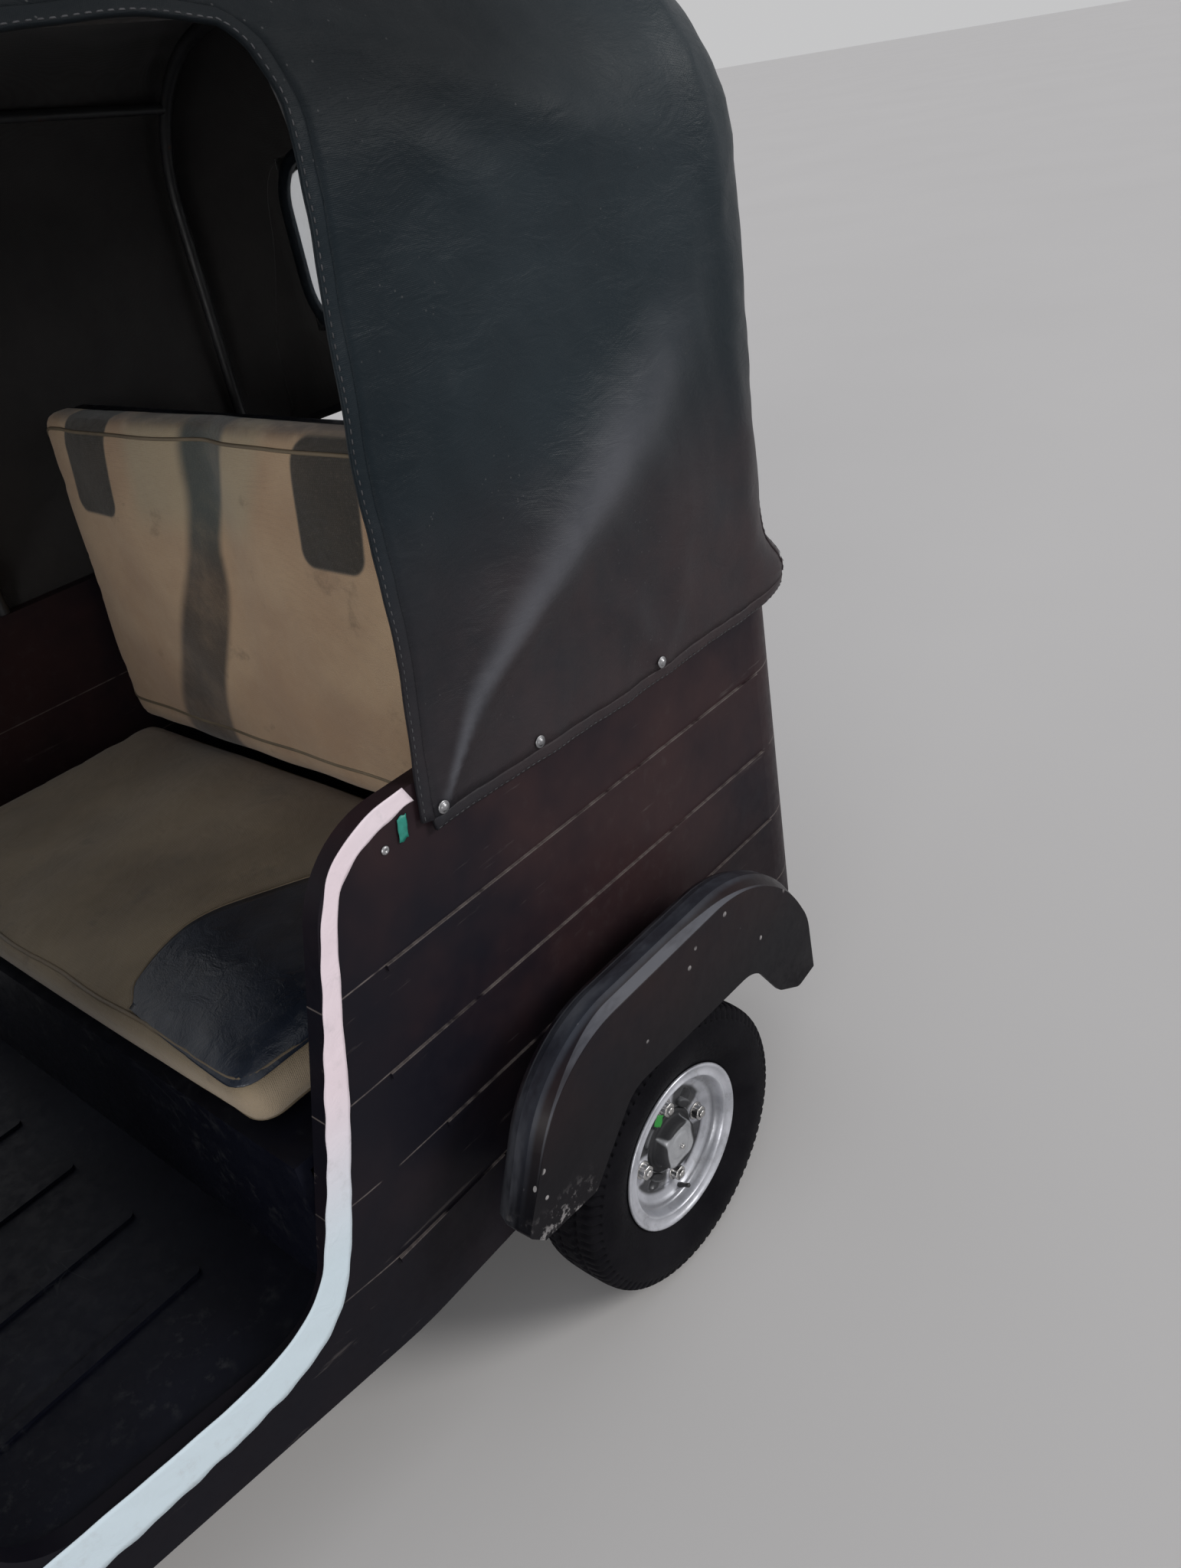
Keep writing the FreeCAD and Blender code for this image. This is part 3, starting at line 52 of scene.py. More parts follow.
# Each moving body's joint, as a place in the frame
PIVOTS = {joint["child"]: joint["pos_m"] for joint in frame["record"]["behaviour"]["joints"]}
REAR_AXLE_Y, AXLE_Z = PIVOTS["rear_wheel_left"][1:]
FRONT_AXLE_Y = PIVOTS["front_wheel"][1]
REAR_FACE_Y = 1.384


# Finishes

class Value:
    """A number that varies over a surface: a shader socket that takes Python's signs."""

    def __init__(self, finish, socket):
        self.finish = finish
        self.socket = socket

    def maths(self, how, first, second=None):
        return self.finish.node("ShaderNodeMath", {"operation": how}, {0: first, 1: second})

    def __add__(self, other):
        return self.maths("ADD", self, other)

    def __radd__(self, other):
        return self.maths("ADD", other, self)

    def __sub__(self, other):
        return self.maths("SUBTRACT", self, other)

    def __rsub__(self, other):
        return self.maths("SUBTRACT", other, self)

    def __mul__(self, other):
        return self.maths("MULTIPLY", self, other)

    def __rmul__(self, other):
        return self.maths("MULTIPLY", other, self)

    def __truediv__(self, other):
        return self.maths("DIVIDE", self, other)

    def __abs__(self):
        return self.maths("ABSOLUTE", self)

    def above(self, edge, soft=0.0):
        """1 where the value is over the edge, 0 below it, with a soft step between."""
        if soft <= 0:
            return self.maths("GREATER_THAN", self, edge)
        return self.spread(edge - soft / 2, edge + soft / 2)

    def below(self, edge, soft=0.0):
        return 1 - self.above(edge, soft)

    def most(self, other):
        return self.maths("MAXIMUM", self, other)

    def sine(self):
        return self.maths("SINE", self)

    def root(self):
        return self.maths("SQRT", self)

    def spread(self, low, high, to_low=0.0, to_high=1.0):
        """The value's run from low to high, eased and laid over another run."""
        return self.finish.node(
            "ShaderNodeMapRange", {"interpolation_type": "SMOOTHSTEP"},
            {"Value": self, "From Min": low, "From Max": high,
             "To Min": to_low, "To Max": to_high})


class Finish:
    """One material, built from nodes round a single Principled shader."""

    def __init__(self, name, **constants):
        self.material = bpy.data.materials.new(name)
        self.material.use_nodes = True
        self.tree = self.material.node_tree
        self.shader = self.tree.nodes["Principled BSDF"]
        self.set(**constants)
        self.place = self.node("ShaderNodeTexCoord", out="Object")

    def set(self, **inputs):
        for name, value in inputs.items():
            self.join(self.shader.inputs[name.replace("_", " ").title().replace("Ior", "IOR")], value)
        return self

    def join(self, socket, value):
        if isinstance(value, Value):
            self.tree.links.new(value.socket, socket)
        elif hasattr(socket.default_value, "__len__") and len(socket.default_value) == 4:
            socket.default_value = (*value[:3], 1.0)
        else:
            socket.default_value = value

    def node(self, kind, settings=None, inputs=None, out=0):
        """A node of that kind: its settings, then its sockets' values or links."""
        made = self.tree.nodes.new(kind)
        for name, value in (settings or {}).items():
            setattr(made, name, value)
        for name, value in (inputs or {}).items():
            if value is not None:
                self.join(made.inputs[name], value)
        return Value(self, made.outputs[out])

    def moved(self, stretch=(1, 1, 1), shift=(0, 0, 0)):
        return self.node("ShaderNodeMapping", {},
                         {"Vector": self.place, "Scale": stretch, "Location": shift})

    def axis(self, which):
        return self.node("ShaderNodeSeparateXYZ", {}, {0: self.place}, out="XYZ".index(which))

    def noise(self, scale, detail=3.0, rough=0.55, stretch=None, shift=(0, 0, 0), warp=0.0):
        """Cloudy variation from 0 to 1, scale in cells to the metre."""
        at = self.moved(stretch or (1, 1, 1), shift) if stretch or any(shift) else self.place
        return self.node("ShaderNodeTexNoise", {},
                         {"Vector": at, "Scale": scale, "Detail": detail, "Roughness": rough,
                          "Distortion": warp}, out="Fac")

    def cells(self, scale, feature="F1", stretch=None):
        """Distances from 0 up in a pattern of cells, scale in cells to the metre."""
        at = self.moved(stretch) if stretch else self.place
        return self.node("ShaderNodeTexVoronoi", {"feature": feature},
                         {"Vector": at, "Scale": scale}, out="Distance")

    def mix(self, first, second, share):
        """Colours mixed by share, 0 for the first and 1 for the second."""
        made = self.tree.nodes.new("ShaderNodeMix")
        made.data_type = "RGBA"
        self.join(made.inputs[0], share)
        self.join(made.inputs[6], first)
        self.join(made.inputs[7], second)
        return Value(self, made.outputs[2])

    def bump(self, height, depth, strength=1.0, under=None):
        """A normal from a height in units of depth, in metres."""
        return self.node("ShaderNodeBump", {},
                         {"Height": height, "Distance": depth, "Strength": strength,
                          "Normal": under}, out="Normal")

    def facing(self):
        """How far the surface faces up, from -1 to 1."""
        normal = self.node("ShaderNodeNewGeometry", out="Normal")
        return self.node("ShaderNodeSeparateXYZ", {}, {0: normal}, out=2)


def weave(finish, pitch):
    """Crossed threads as a height from 0 to 1: pitch is metres from thread to thread."""
    x, y, z = ((finish.axis(which) * (2 * math.pi / pitch)).sine() for which in "XYZ")
    return (x * y + y * z + z * x) / 3 + 0.5


def coated_canvas():
    """Dark coated canvas: fine weave, soft creases, dust, browner low down towards the rear, painted
    shade on the roof and a painted highlight along the long fold's crest.
    """
    f = Finish("coated_canvas", specular_ior_level=0.13)
    cloud = f.noise(2.2, 4, 0.6)
    blotch = f.noise(9, 5, 0.65, shift=(3, 1, 7))
    grain = f.noise(420, 2, 0.6)
    base = f.mix((0.0075, 0.0125, 0.0165), (0.0165, 0.0245, 0.0305), cloud.spread(0.3, 0.72))
    # Painted shade: the roof darker, and rougher too
    roof = f.axis("Z").spread(1.39, 1.53) * f.axis("Y").spread(1.25, 0.92)
    base = f.mix(base, (0.0020, 0.0035, 0.0050), roof * 0.85)
    brown = f.axis("Z").spread(1.22, 0.92) * f.axis("Y").spread(0.60, 0.95, 0.5, 1.0)
    brown = brown * blotch.spread(0.2, 0.75, 0.45, 1.0)
    base = f.mix(base, (0.0420, 0.0285, 0.0300), brown * 0.85)
    dust = blotch.spread(0.52, 0.78) * f.noise(55, 4, 0.7).spread(0.4, 0.7)
    base = f.mix(base, (0.060, 0.064, 0.070), dust * 0.12)
    specks = f.cells(90).below(0.09, 0.05) * f.noise(6, 2).above(0.56, 0.1)
    base = f.mix(base, (0.11, 0.11, 0.11), specks * 0.35)
    # A painted highlight along the long fold's crest, on both sides
    up, along = f.axis("Z"), f.axis("Y")
    start = along.spread(0.80, 0.68)
    crest = along * 0.62 + 0.471 - start * start * 0.05
    wide = along.spread(0.68, 1.14, 0.022, 0.125)
    rubbed = (abs(up - crest) / wide).spread(1.0, 0.0)
    rubbed = rubbed * rubbed * along.spread(0.675, 0.72) * along.spread(1.27, 1.00)
    rubbed = rubbed * blotch.spread(0.2, 0.6, 0.6, 1.0) * abs(f.axis("X")).above(0.50, 0.02)
    base = f.mix(base, (0.110, 0.113, 0.128), rubbed * 0.62)
    rough = blotch.spread(0.25, 0.8, 0.36, 0.50) + (grain - 0.5) * 0.10 + roof * 0.22
    f.set(base_color=base, roughness=rough)
    creases = f.bump(f.noise(26, 5, 0.62, stretch=(1, 0.7, 1.5), warp=0.6), 0.0035, 0.55)
    return f.set(normal=f.bump(weave(f, 0.0016) * 0.6 + grain * 0.4, 0.00035, 0.5, creases)).material


def canvas_lining():
    """The canvas's inner face: plain dark cloth, matt and dusty."""
    f = Finish("canvas_lining", specular_ior_level=0.3, sheen_weight=0.15)
    cloud = f.noise(5, 5, 0.6)
    base = f.mix((0.018, 0.0165, 0.0165), (0.036, 0.033, 0.032), cloud.spread(0.3, 0.75))
    f.set(base_color=base, roughness=cloud.spread(0.2, 0.8, 0.72, 0.88))
    return f.set(normal=f.bump(weave(f, 0.0018) * 0.7 + f.noise(30, 4) * 0.5, 0.0006, 0.6)).material


# Heights of the pressed ribs' crests, the pitch of the lenses' flutes, and the middles of the two
# tags on the seat's back, as x and z
RIB_CRESTS = (0.7197, 0.5947, 0.4747, 0.3587)
FLUTE_PITCH = 0.004
TAGS = ((-0.345, 1.100), (0.212, 1.078))


def body_enamel():
    """Dark brown-plum body paint: dusty, scratched, with painted highlights along the pressed ribs and
    painted shade towards the front and low down.
    """
    f = Finish("body_enamel", specular_ior_level=0.08, coat_roughness=0.35)
    cloud = f.noise(3, 4, 0.6)
    fine = f.noise(60, 5, 0.65)
    up, along = f.axis("Z"), f.axis("Y")
    warm = cloud.spread(0.3, 0.7) * along.spread(-0.1, 0.75, 0.25, 1.0)
    base = f.mix((0.0085, 0.0080, 0.0125), (0.0360, 0.0190, 0.0200), warm)
    # Painted shade: darker towards the front and low down, with less dust film in it
    painted_shade = (along.spread(0.62, 0.38) * 0.6).most(up.spread(0.62, 0.30))
    base = f.mix(base, (0.0045, 0.0045, 0.0075), painted_shade * 0.75)
    low = up.spread(0.55, 0.25) * f.noise(14, 5, 0.7).spread(0.35, 0.75)
    base = f.mix(base, (0.050, 0.043, 0.040), low * 0.08)
    film = fine.spread(0.5, 0.75) * cloud.spread(0.45, 0.7)
    base = f.mix(base, (0.065, 0.056, 0.055), film * (0.3 - painted_shade * 0.15))
    # Painted highlights on the ribs: thin pale lines along the crests, broken here and there
    broken = f.noise(7, 3, 0.6, stretch=(1, 3, 1)).spread(0.34, 0.5)
    crests = [abs(up - height).below(0.0009, 0.0009) for height in RIB_CRESTS]
    rib_highlight_lines = functools.reduce(Value.most, crests)
    outer = abs(f.axis("X")).above(0.395, 0.004)
    rib_highlight_lines = rib_highlight_lines * broken * outer * along.spread(0.36, 0.46)
    base = f.mix(base, (0.17, 0.145, 0.135), rib_highlight_lines * fine.spread(0.3, 0.6, 0.30, 0.75))
    # Faint rubbed streaks that run along the panel
    streak = f.noise(30, 5, 0.7, stretch=(1, 0.12, 1.6), shift=(5, 2, 9)).above(0.66, 0.06)
    base = f.mix(base, (0.10, 0.088, 0.085), streak * 0.35)
    f.set(base_color=base, coat_weight=(1 - low) * 0.07)
    f.set(roughness=fine.spread(0.3, 0.75, 0.40, 0.56) + low * 0.20)
    dents = f.bump(fine, 0.0004, 0.25)
    return f.set(normal=f.bump(f.noise(11, 3, 0.5), 0.0035, 0.35, dents)).material


def guard_enamel():
    """The mudguards' paint: the same plum, glossier, with a chipped crest, painted highlights and sheen
    along the crest and shoulder, and painted shade down the skirt.
    """
    f = Finish("guard_enamel", specular_ior_level=0.09, coat_roughness=0.2)
    cloud = f.noise(5, 4, 0.6)
    fine = f.noise(70, 5, 0.65)
    up = f.axis("Z")
    across = abs(f.axis("X"))
    along = f.axis("Y")
    base = f.mix((0.0060, 0.0055, 0.0090), (0.0155, 0.0085, 0.0095), cloud.spread(0.3, 0.7))
    # Painted shade: darker down the skirt
    base = f.mix(base, (0.0030, 0.0028, 0.0045), up.spread(0.56, 0.40) * 0.92)
    # Painted highlight along the shoulder: a pale band, widest in the middle, that tapers to nothing at
    # both ends
    middle = along.spread(0.62, 0.76) * along.spread(1.08, 0.88)
    inner = 0.6472 - middle * 0.0085
    shoulder_highlight = (across - inner).above(0.0, 0.0008) * across.below(0.6492, 0.0008)
    shoulder_highlight = shoulder_highlight * along.spread(0.585, 0.66) * along.spread(1.10, 1.00)
    # Painted highlight: a thin pale line along the crest
    crest_line_highlight = abs(across - 0.6035).below(0.0012, 0.0012)
    crest_line_highlight = crest_line_highlight * along.spread(0.60, 0.72) * along.spread(1.08, 0.98)
    # Painted sheen: a blue-grey strip along the top
    top_strip_sheen = across.spread(0.600, 0.606) * across.spread(0.640, 0.634)
    top_strip_sheen = top_strip_sheen * along.spread(0.56, 0.64) * along.spread(1.12, 1.02)
    top_strip_sheen = top_strip_sheen * f.noise(16, 5, 0.7, stretch=(1, 0.5, 0.5)).spread(0.25, 0.62, 0.35, 1.0)
    base = f.mix(base, (0.041, 0.046, 0.059), top_strip_sheen * 0.85)
    base = f.mix(base, (0.130, 0.135, 0.150), crest_line_highlight * 0.55)
    streak = f.noise(26, 4, 0.65, stretch=(1, 0.25, 0.25)).spread(0.30, 0.55, 0.35, 1.0)
    base = f.mix(base, (0.125, 0.130, 0.150), shoulder_highlight * streak * 0.75)
    # Painted highlight: the crest paler, broken by noise
    crest = across.spread(0.588, 0.606) * across.spread(0.630, 0.622)
    crest = crest * f.noise(16, 4, 0.65, stretch=(1, 0.5, 0.5)).spread(0.40, 0.66)
    base = f.mix(base, (0.085, 0.088, 0.10), crest * 0.6)
    chips = f.cells(70, stretch=(1, 0.6, 0.6)).below(0.16, 0.04)
    chips = chips * f.noise(9, 3, 0.6).above(0.60, 0.04) * across.spread(0.62, 0.64)
    tip = up.spread(0.40, 0.34) * along.spread(0.70, 0.62) * along.spread(0.50, 0.55)
    tip = tip * f.noise(60, 4, 0.7).above(0.57, 0.1)
    base = f.mix(base, (0.42, 0.40, 0.40), chips.most(tip * 0.8) * 0.75)
    low = up.spread(0.42, 0.30) * f.noise(30, 5, 0.7).spread(0.35, 0.7)
    base = f.mix(base, (0.060, 0.052, 0.048), low * 0.04)
    f.set(base_color=base, coat_weight=(1 - low) * 0.06)
    f.set(roughness=fine.spread(0.3, 0.75, 0.30, 0.44) + low * 0.25)
    return f.set(normal=f.bump(f.noise(13, 3, 0.5), 0.003, 0.35, f.bump(fine, 0.0004, 0.25))).material


def floor_enamel():
    """The cab floor: navy paint trodden grey, with grit in the hollows."""
    f = Finish("floor_enamel", specular_ior_level=0.13)
    cloud = f.noise(4, 4, 0.6)
    fine = f.noise(45, 6, 0.7)
    base = f.mix((0.0035, 0.0040, 0.0085), (0.0085, 0.0100, 0.0180), cloud.spread(0.3, 0.72))
    grit = fine.spread(0.5, 0.72) * f.noise(9, 4, 0.6).spread(0.4, 0.65)
    base = f.mix(base, (0.085, 0.088, 0.088), grit * 0.30)
    scuff = f.cells(26, "DISTANCE_TO_EDGE", stretch=(0.35, 1.1, 1)).below(0.013, 0.012)
    scuff = scuff * f.noise(5, 3).above(0.64, 0.1)
    base = f.mix(base, (0.085, 0.088, 0.092), scuff * 0.22)
    f.set(base_color=base, roughness=fine.spread(0.3, 0.75, 0.36, 0.62))
    return f.set(normal=f.bump(fine * 0.5 + f.noise(12, 3), 0.0016, 0.4)).material


def frame_paint():
    """Black paint on tube and plate: brush marks, dust on top and rust at scratches."""
    f = Finish("frame_paint", specular_ior_level=0.5)
    cloud = f.noise(8, 4, 0.6)
    fine = f.noise(120, 5, 0.65)
    base = f.mix((0.010, 0.010, 0.011), (0.022, 0.022, 0.024), cloud.spread(0.3, 0.7))
    rust = f.noise(38, 5, 0.7).above(0.66, 0.06) * cloud.spread(0.4, 0.7)
    base = f.mix(base, (0.12, 0.045, 0.02), rust * 0.7)
    dust = f.facing().spread(0.4, 1.0) * fine.spread(0.4, 0.7)
    base = f.mix(base, (0.10, 0.095, 0.09), dust * 0.30)
    f.set(base_color=base, roughness=fine.spread(0.3, 0.7, 0.38, 0.55) + rust * 0.3)
    return f.set(normal=f.bump(fine, 0.0005, 0.4)).material


def bare_metal(name, dark, light, smooth, rough, metal=1.0, rust=0.25):
    """Unpainted metal: streaked, with grime and rust in patches."""
    f = Finish(name, specular_ior_level=0.5)
    cloud = f.noise(14, 5, 0.65)
    fine = f.noise(180, 4, 0.6)
    base = f.mix(dark, light, cloud.spread(0.3, 0.7))
    spots = f.noise(55, 5, 0.7, shift=(4, 4, 2)).above(0.62, 0.08) * cloud.spread(0.35, 0.65)
    base = f.mix(base, (0.14, 0.06, 0.03), spots * rust)
    f.set(base_color=base, metallic=(1 - spots * rust) * metal)
    f.set(roughness=fine.spread(0.3, 0.7, smooth, rough))
    return f.set(normal=f.bump(fine, 0.0003, 0.35)).material


def from_axle(finish):
    """How far a point lies behind, above and away from the nearer wheel's axle."""
    along, up = finish.axis("Y"), finish.axis("Z") - AXLE_Z
    back = along.above(0, 0.1)
    along = along - back * REAR_AXLE_Y - (1 - back) * FRONT_AXLE_Y
    return along, up, (along * along + up * up).root()


def cast_hub():
    """The hub: dull cast metal, with painted shade, nearly black, outside its cap."""
    f = Finish("cast_hub", specular_ior_level=0.3)
    cloud = f.noise(14, 5, 0.65)
    fine = f.noise(180, 4, 0.6)
    along, up, away = from_axle(f)
    # Painted shade in the recess outside the cap's square, lighter further out
    square = abs(along).most(abs(up)).spread(0.0245, 0.0285)
    dust = square * (1 - away.spread(0.056, 0.062) * 0.45)
    base = f.mix((0.33, 0.34, 0.36), (0.50, 0.51, 0.53), cloud.spread(0.3, 0.7))
    base = f.mix(base, (0.010, 0.010, 0.012), dust * 0.97)
    f.set(base_color=base, metallic=(1 - dust) * 0.65)
    f.set(roughness=fine.spread(0.3, 0.7, 0.34, 0.50) + dust * 0.25)
    return f.set(normal=f.bump(fine, 0.0003, 0.35)).material


def rim_enamel():
    """Silver-painted pressed steel with grime, and painted shade round the hub, in the four openings and
    in its well.
    """
    f = Finish("rim_enamel", specular_ior_level=0.5, coat_roughness=0.25)
    cloud = f.noise(16, 4, 0.6)
    fine = f.noise(260, 3, 0.6)
    base = f.mix((0.40, 0.41, 0.45), (0.60, 0.61, 0.66), cloud.spread(0.3, 0.7))
    grime = f.noise(48, 5, 0.7).spread(0.5, 0.75)
    base = f.mix(base, (0.12, 0.11, 0.10), grime * 0.4)
    # Painted shade round the hub, in the four openings and in the well
    along, up, away = from_axle(f)
    slant = abs(along * up) / (away * away)
    dark = away.spread(0.045, 0.050) * away.spread(0.082, 0.076) * slant.spread(0.24, 0.34)
    dark = dark.most(away.spread(0.036, 0.040) * away.spread(0.050, 0.047))
    dark = dark.most(away.spread(0.088, 0.092) * away.spread(0.102, 0.096) * 0.45)
    base = f.mix(base, (0.012, 0.012, 0.014), dark * 0.94)
    f.set(base_color=base, metallic=0.55, coat_weight=(1 - grime) * 0.3)
    f.set(roughness=fine.spread(0.3, 0.7, 0.30, 0.42) + grime * 0.15)
    return f.set(normal=f.bump(fine, 0.0002, 0.3)).material


def tyre_rubber():
    """Black rubber, paler with road dust on the shoulders and low in the tread."""
    f = Finish("tyre_rubber", specular_ior_level=0.06)
    cloud = f.noise(9, 4, 0.6)
    fine = f.noise(220, 4, 0.65)
    base = f.mix((0.0030, 0.0028, 0.0042), (0.0070, 0.0066, 0.0086), cloud.spread(0.3, 0.7))
    dust = fine.spread(0.45, 0.75) * cloud.spread(0.35, 0.7)
    base = f.mix(base, (0.055, 0.052, 0.05), dust * 0.10)
    f.set(base_color=base, roughness=fine.spread(0.3, 0.75, 0.58, 0.80))
    return f.set(normal=f.bump(fine, 0.0004, 0.5)).material


def clear_sheet(name, tint, rough, haze):
    """Glass or clear film: see-through, faintly hazed, with smears and dust."""
    f = Finish(name, ior=1.45, transmission_weight=1.0, specular_ior_level=0.5)
    smear = f.noise(7, 5, 0.7, stretch=(1, 1, 0.4)).spread(0.4, 0.75)
    dust = f.noise(160, 4, 0.7).above(0.60, 0.1)
    f.set(base_color=f.mix(tint, (0.75, 0.74, 0.70), smear * haze))
    f.set(roughness=smear * 0.12 + dust * 0.10 + rough)
    return f.set(normal=f.bump(f.noise(9, 3, 0.5), 0.004, 0.25 if haze > 0.3 else 0.03)).material


def lens(name, colour):
    """Coloured lens plastic with moulded flutes inside it."""
    f = Finish(name, ior=1.49, transmission_weight=0.35, specular_ior_level=0.5,
               coat_roughness=0.06)
    cloud = f.noise(60, 3)
    base = f.mix(colour, tuple(c * 0.55 for c in colour), cloud.spread(0.35, 0.7))
    flutes = (f.axis("X") * (2 * math.pi / FLUTE_PITCH)).sine()
    f.set(base_color=base, roughness=cloud.spread(0.3, 0.7, 0.12, 0.22))
    f.set(coat_weight=cloud.spread(0.2, 0.8, 1.0, 0.8))
    return f.set(normal=f.bump(flutes, 0.0012, 0.5)).material


def bright_plate():
    """Bright plating, hazed and finely pitted."""
    f = Finish("bright_plate", specular_ior_level=0.5)
    haze = f.noise(25, 4, 0.6).spread(0.4, 0.75)
    pits = f.cells(700).below(0.12, 0.06) * f.noise(30, 3).above(0.5, 0.1)
    base = f.mix((0.62, 0.63, 0.65), (0.40, 0.39, 0.37), haze * 0.5)
    f.set(base_color=f.mix(base, (0.10, 0.06, 0.04), pits * 0.8), metallic=1 - pits * 0.8)
    f.set(roughness=haze * 0.18 + 0.10)
    return f.set(normal=f.bump(pits, 0.0002, 0.4)).material


def moulded_black():
    """Black moulded plastic or rubber with a fine moulded grain."""
    f = Finish("moulded_black", specular_ior_level=0.45)
    cloud = f.noise(12, 4, 0.6)
    grain = f.cells(900)
    base = f.mix((0.012, 0.012, 0.013), (0.026, 0.026, 0.028), cloud.spread(0.3, 0.7))
    dust = f.noise(90, 5, 0.7).spread(0.5, 0.75)
    f.set(base_color=f.mix(base, (0.09, 0.085, 0.08), dust * 0.3))
    f.set(roughness=cloud.spread(0.3, 0.7, 0.42, 0.60))
    return f.set(normal=f.bump(grain, 0.0003, 0.4)).material


def white_tape():
    """White adhesive tape: cool and warm patches, creases and a grubby edge."""
    f = Finish("white_tape", specular_ior_level=0.5)
    cloud = f.noise(3, 3, 0.5)
    up = f.axis("Z")
    base = f.mix((0.60, 0.70, 0.76), (0.80, 0.68, 0.73), up.spread(0.40, 0.66))
    base = f.mix(base, (0.80, 0.79, 0.83), cloud.spread(0.45, 0.7) * 0.5)
    grub = f.noise(30, 5, 0.7).spread(0.52, 0.75)
    base = f.mix(base, (0.38, 0.37, 0.38), grub * 0.30)
    creases = f.noise(34, 4, 0.6, warp=1.2)
    f.set(base_color=base, roughness=cloud.spread(0.2, 0.8, 0.38, 0.55))
    return f.set(normal=f.bump(creases, 0.0022, 0.5)).material


def green_tape():
    """Green tape, and a greener paint for the mark on the wheel."""
    f = Finish("green_tape", specular_ior_level=0.5)
    cloud = f.noise(60, 4, 0.6)
    wheel = f.axis("Z").below(0.5, 0.01)
    green = f.mix((0.01, 0.16, 0.12), (0.02, 0.26, 0.20), cloud.spread(0.3, 0.7))
    f.set(base_color=f.mix(green, (0.015, 0.23, 0.03), wheel))
    f.set(roughness=cloud.spread(0.3, 0.7, 0.35, 0.5))
    return f.set(normal=f.bump(cloud, 0.0005, 0.5)).material


def binding_cloth():
    """Folded edge binding and seam bands: darker, denser cloth, shiny where it is rubbed."""
    f = Finish("binding_cloth", specular_ior_level=0.12)
    cloud = f.noise(14, 4, 0.6)
    base = f.mix((0.0050, 0.0080, 0.0115), (0.0105, 0.0145, 0.0190), cloud.spread(0.3, 0.7))
    rub = f.noise(60, 5, 0.7).above(0.6, 0.1)
    f.set(base_color=f.mix(base, (0.06, 0.06, 0.065), rub * 0.2))
    f.set(roughness=cloud.spread(0.3, 0.7, 0.5, 0.65))
    return f.set(normal=f.bump(weave(f, 0.0012), 0.0003, 0.6)).material


def sewing_thread():
    """Dark twisted thread."""
    f = Finish("sewing_thread", specular_ior_level=0.3)
    twist = (f.axis("X") + f.axis("Y") + f.axis("Z")) * 5200
    cloud = f.noise(30, 3)
    f.set(base_color=f.mix((0.035, 0.036, 0.04), (0.07, 0.07, 0.075), cloud.spread(0.3, 0.7)))
    f.set(roughness=cloud.spread(0.3, 0.7, 0.6, 0.8))
    return f.set(normal=f.bump(twist.sine(), 0.0002, 0.5)).material


def mirror_face():
    """Silvered glass with a little dust."""
    f = Finish("mirror_face", specular_ior_level=0.5)
    cloud = f.noise(40, 4, 0.6)
    f.set(base_color=f.mix((0.75, 0.77, 0.79), (0.66, 0.67, 0.68), cloud), metallic=1.0)
    return f.set(roughness=cloud.spread(0.4, 0.8, 0.04, 0.14)).material


def dial_white():
    """The dial's off-white markings."""
    f = Finish("dial_white", specular_ior_level=0.4)
    cloud = f.noise(300, 3, 0.6)
    f.set(base_color=f.mix((0.62, 0.62, 0.58), (0.50, 0.50, 0.47), cloud))
    return f.set(roughness=cloud.spread(0.3, 0.7, 0.45, 0.6)).material


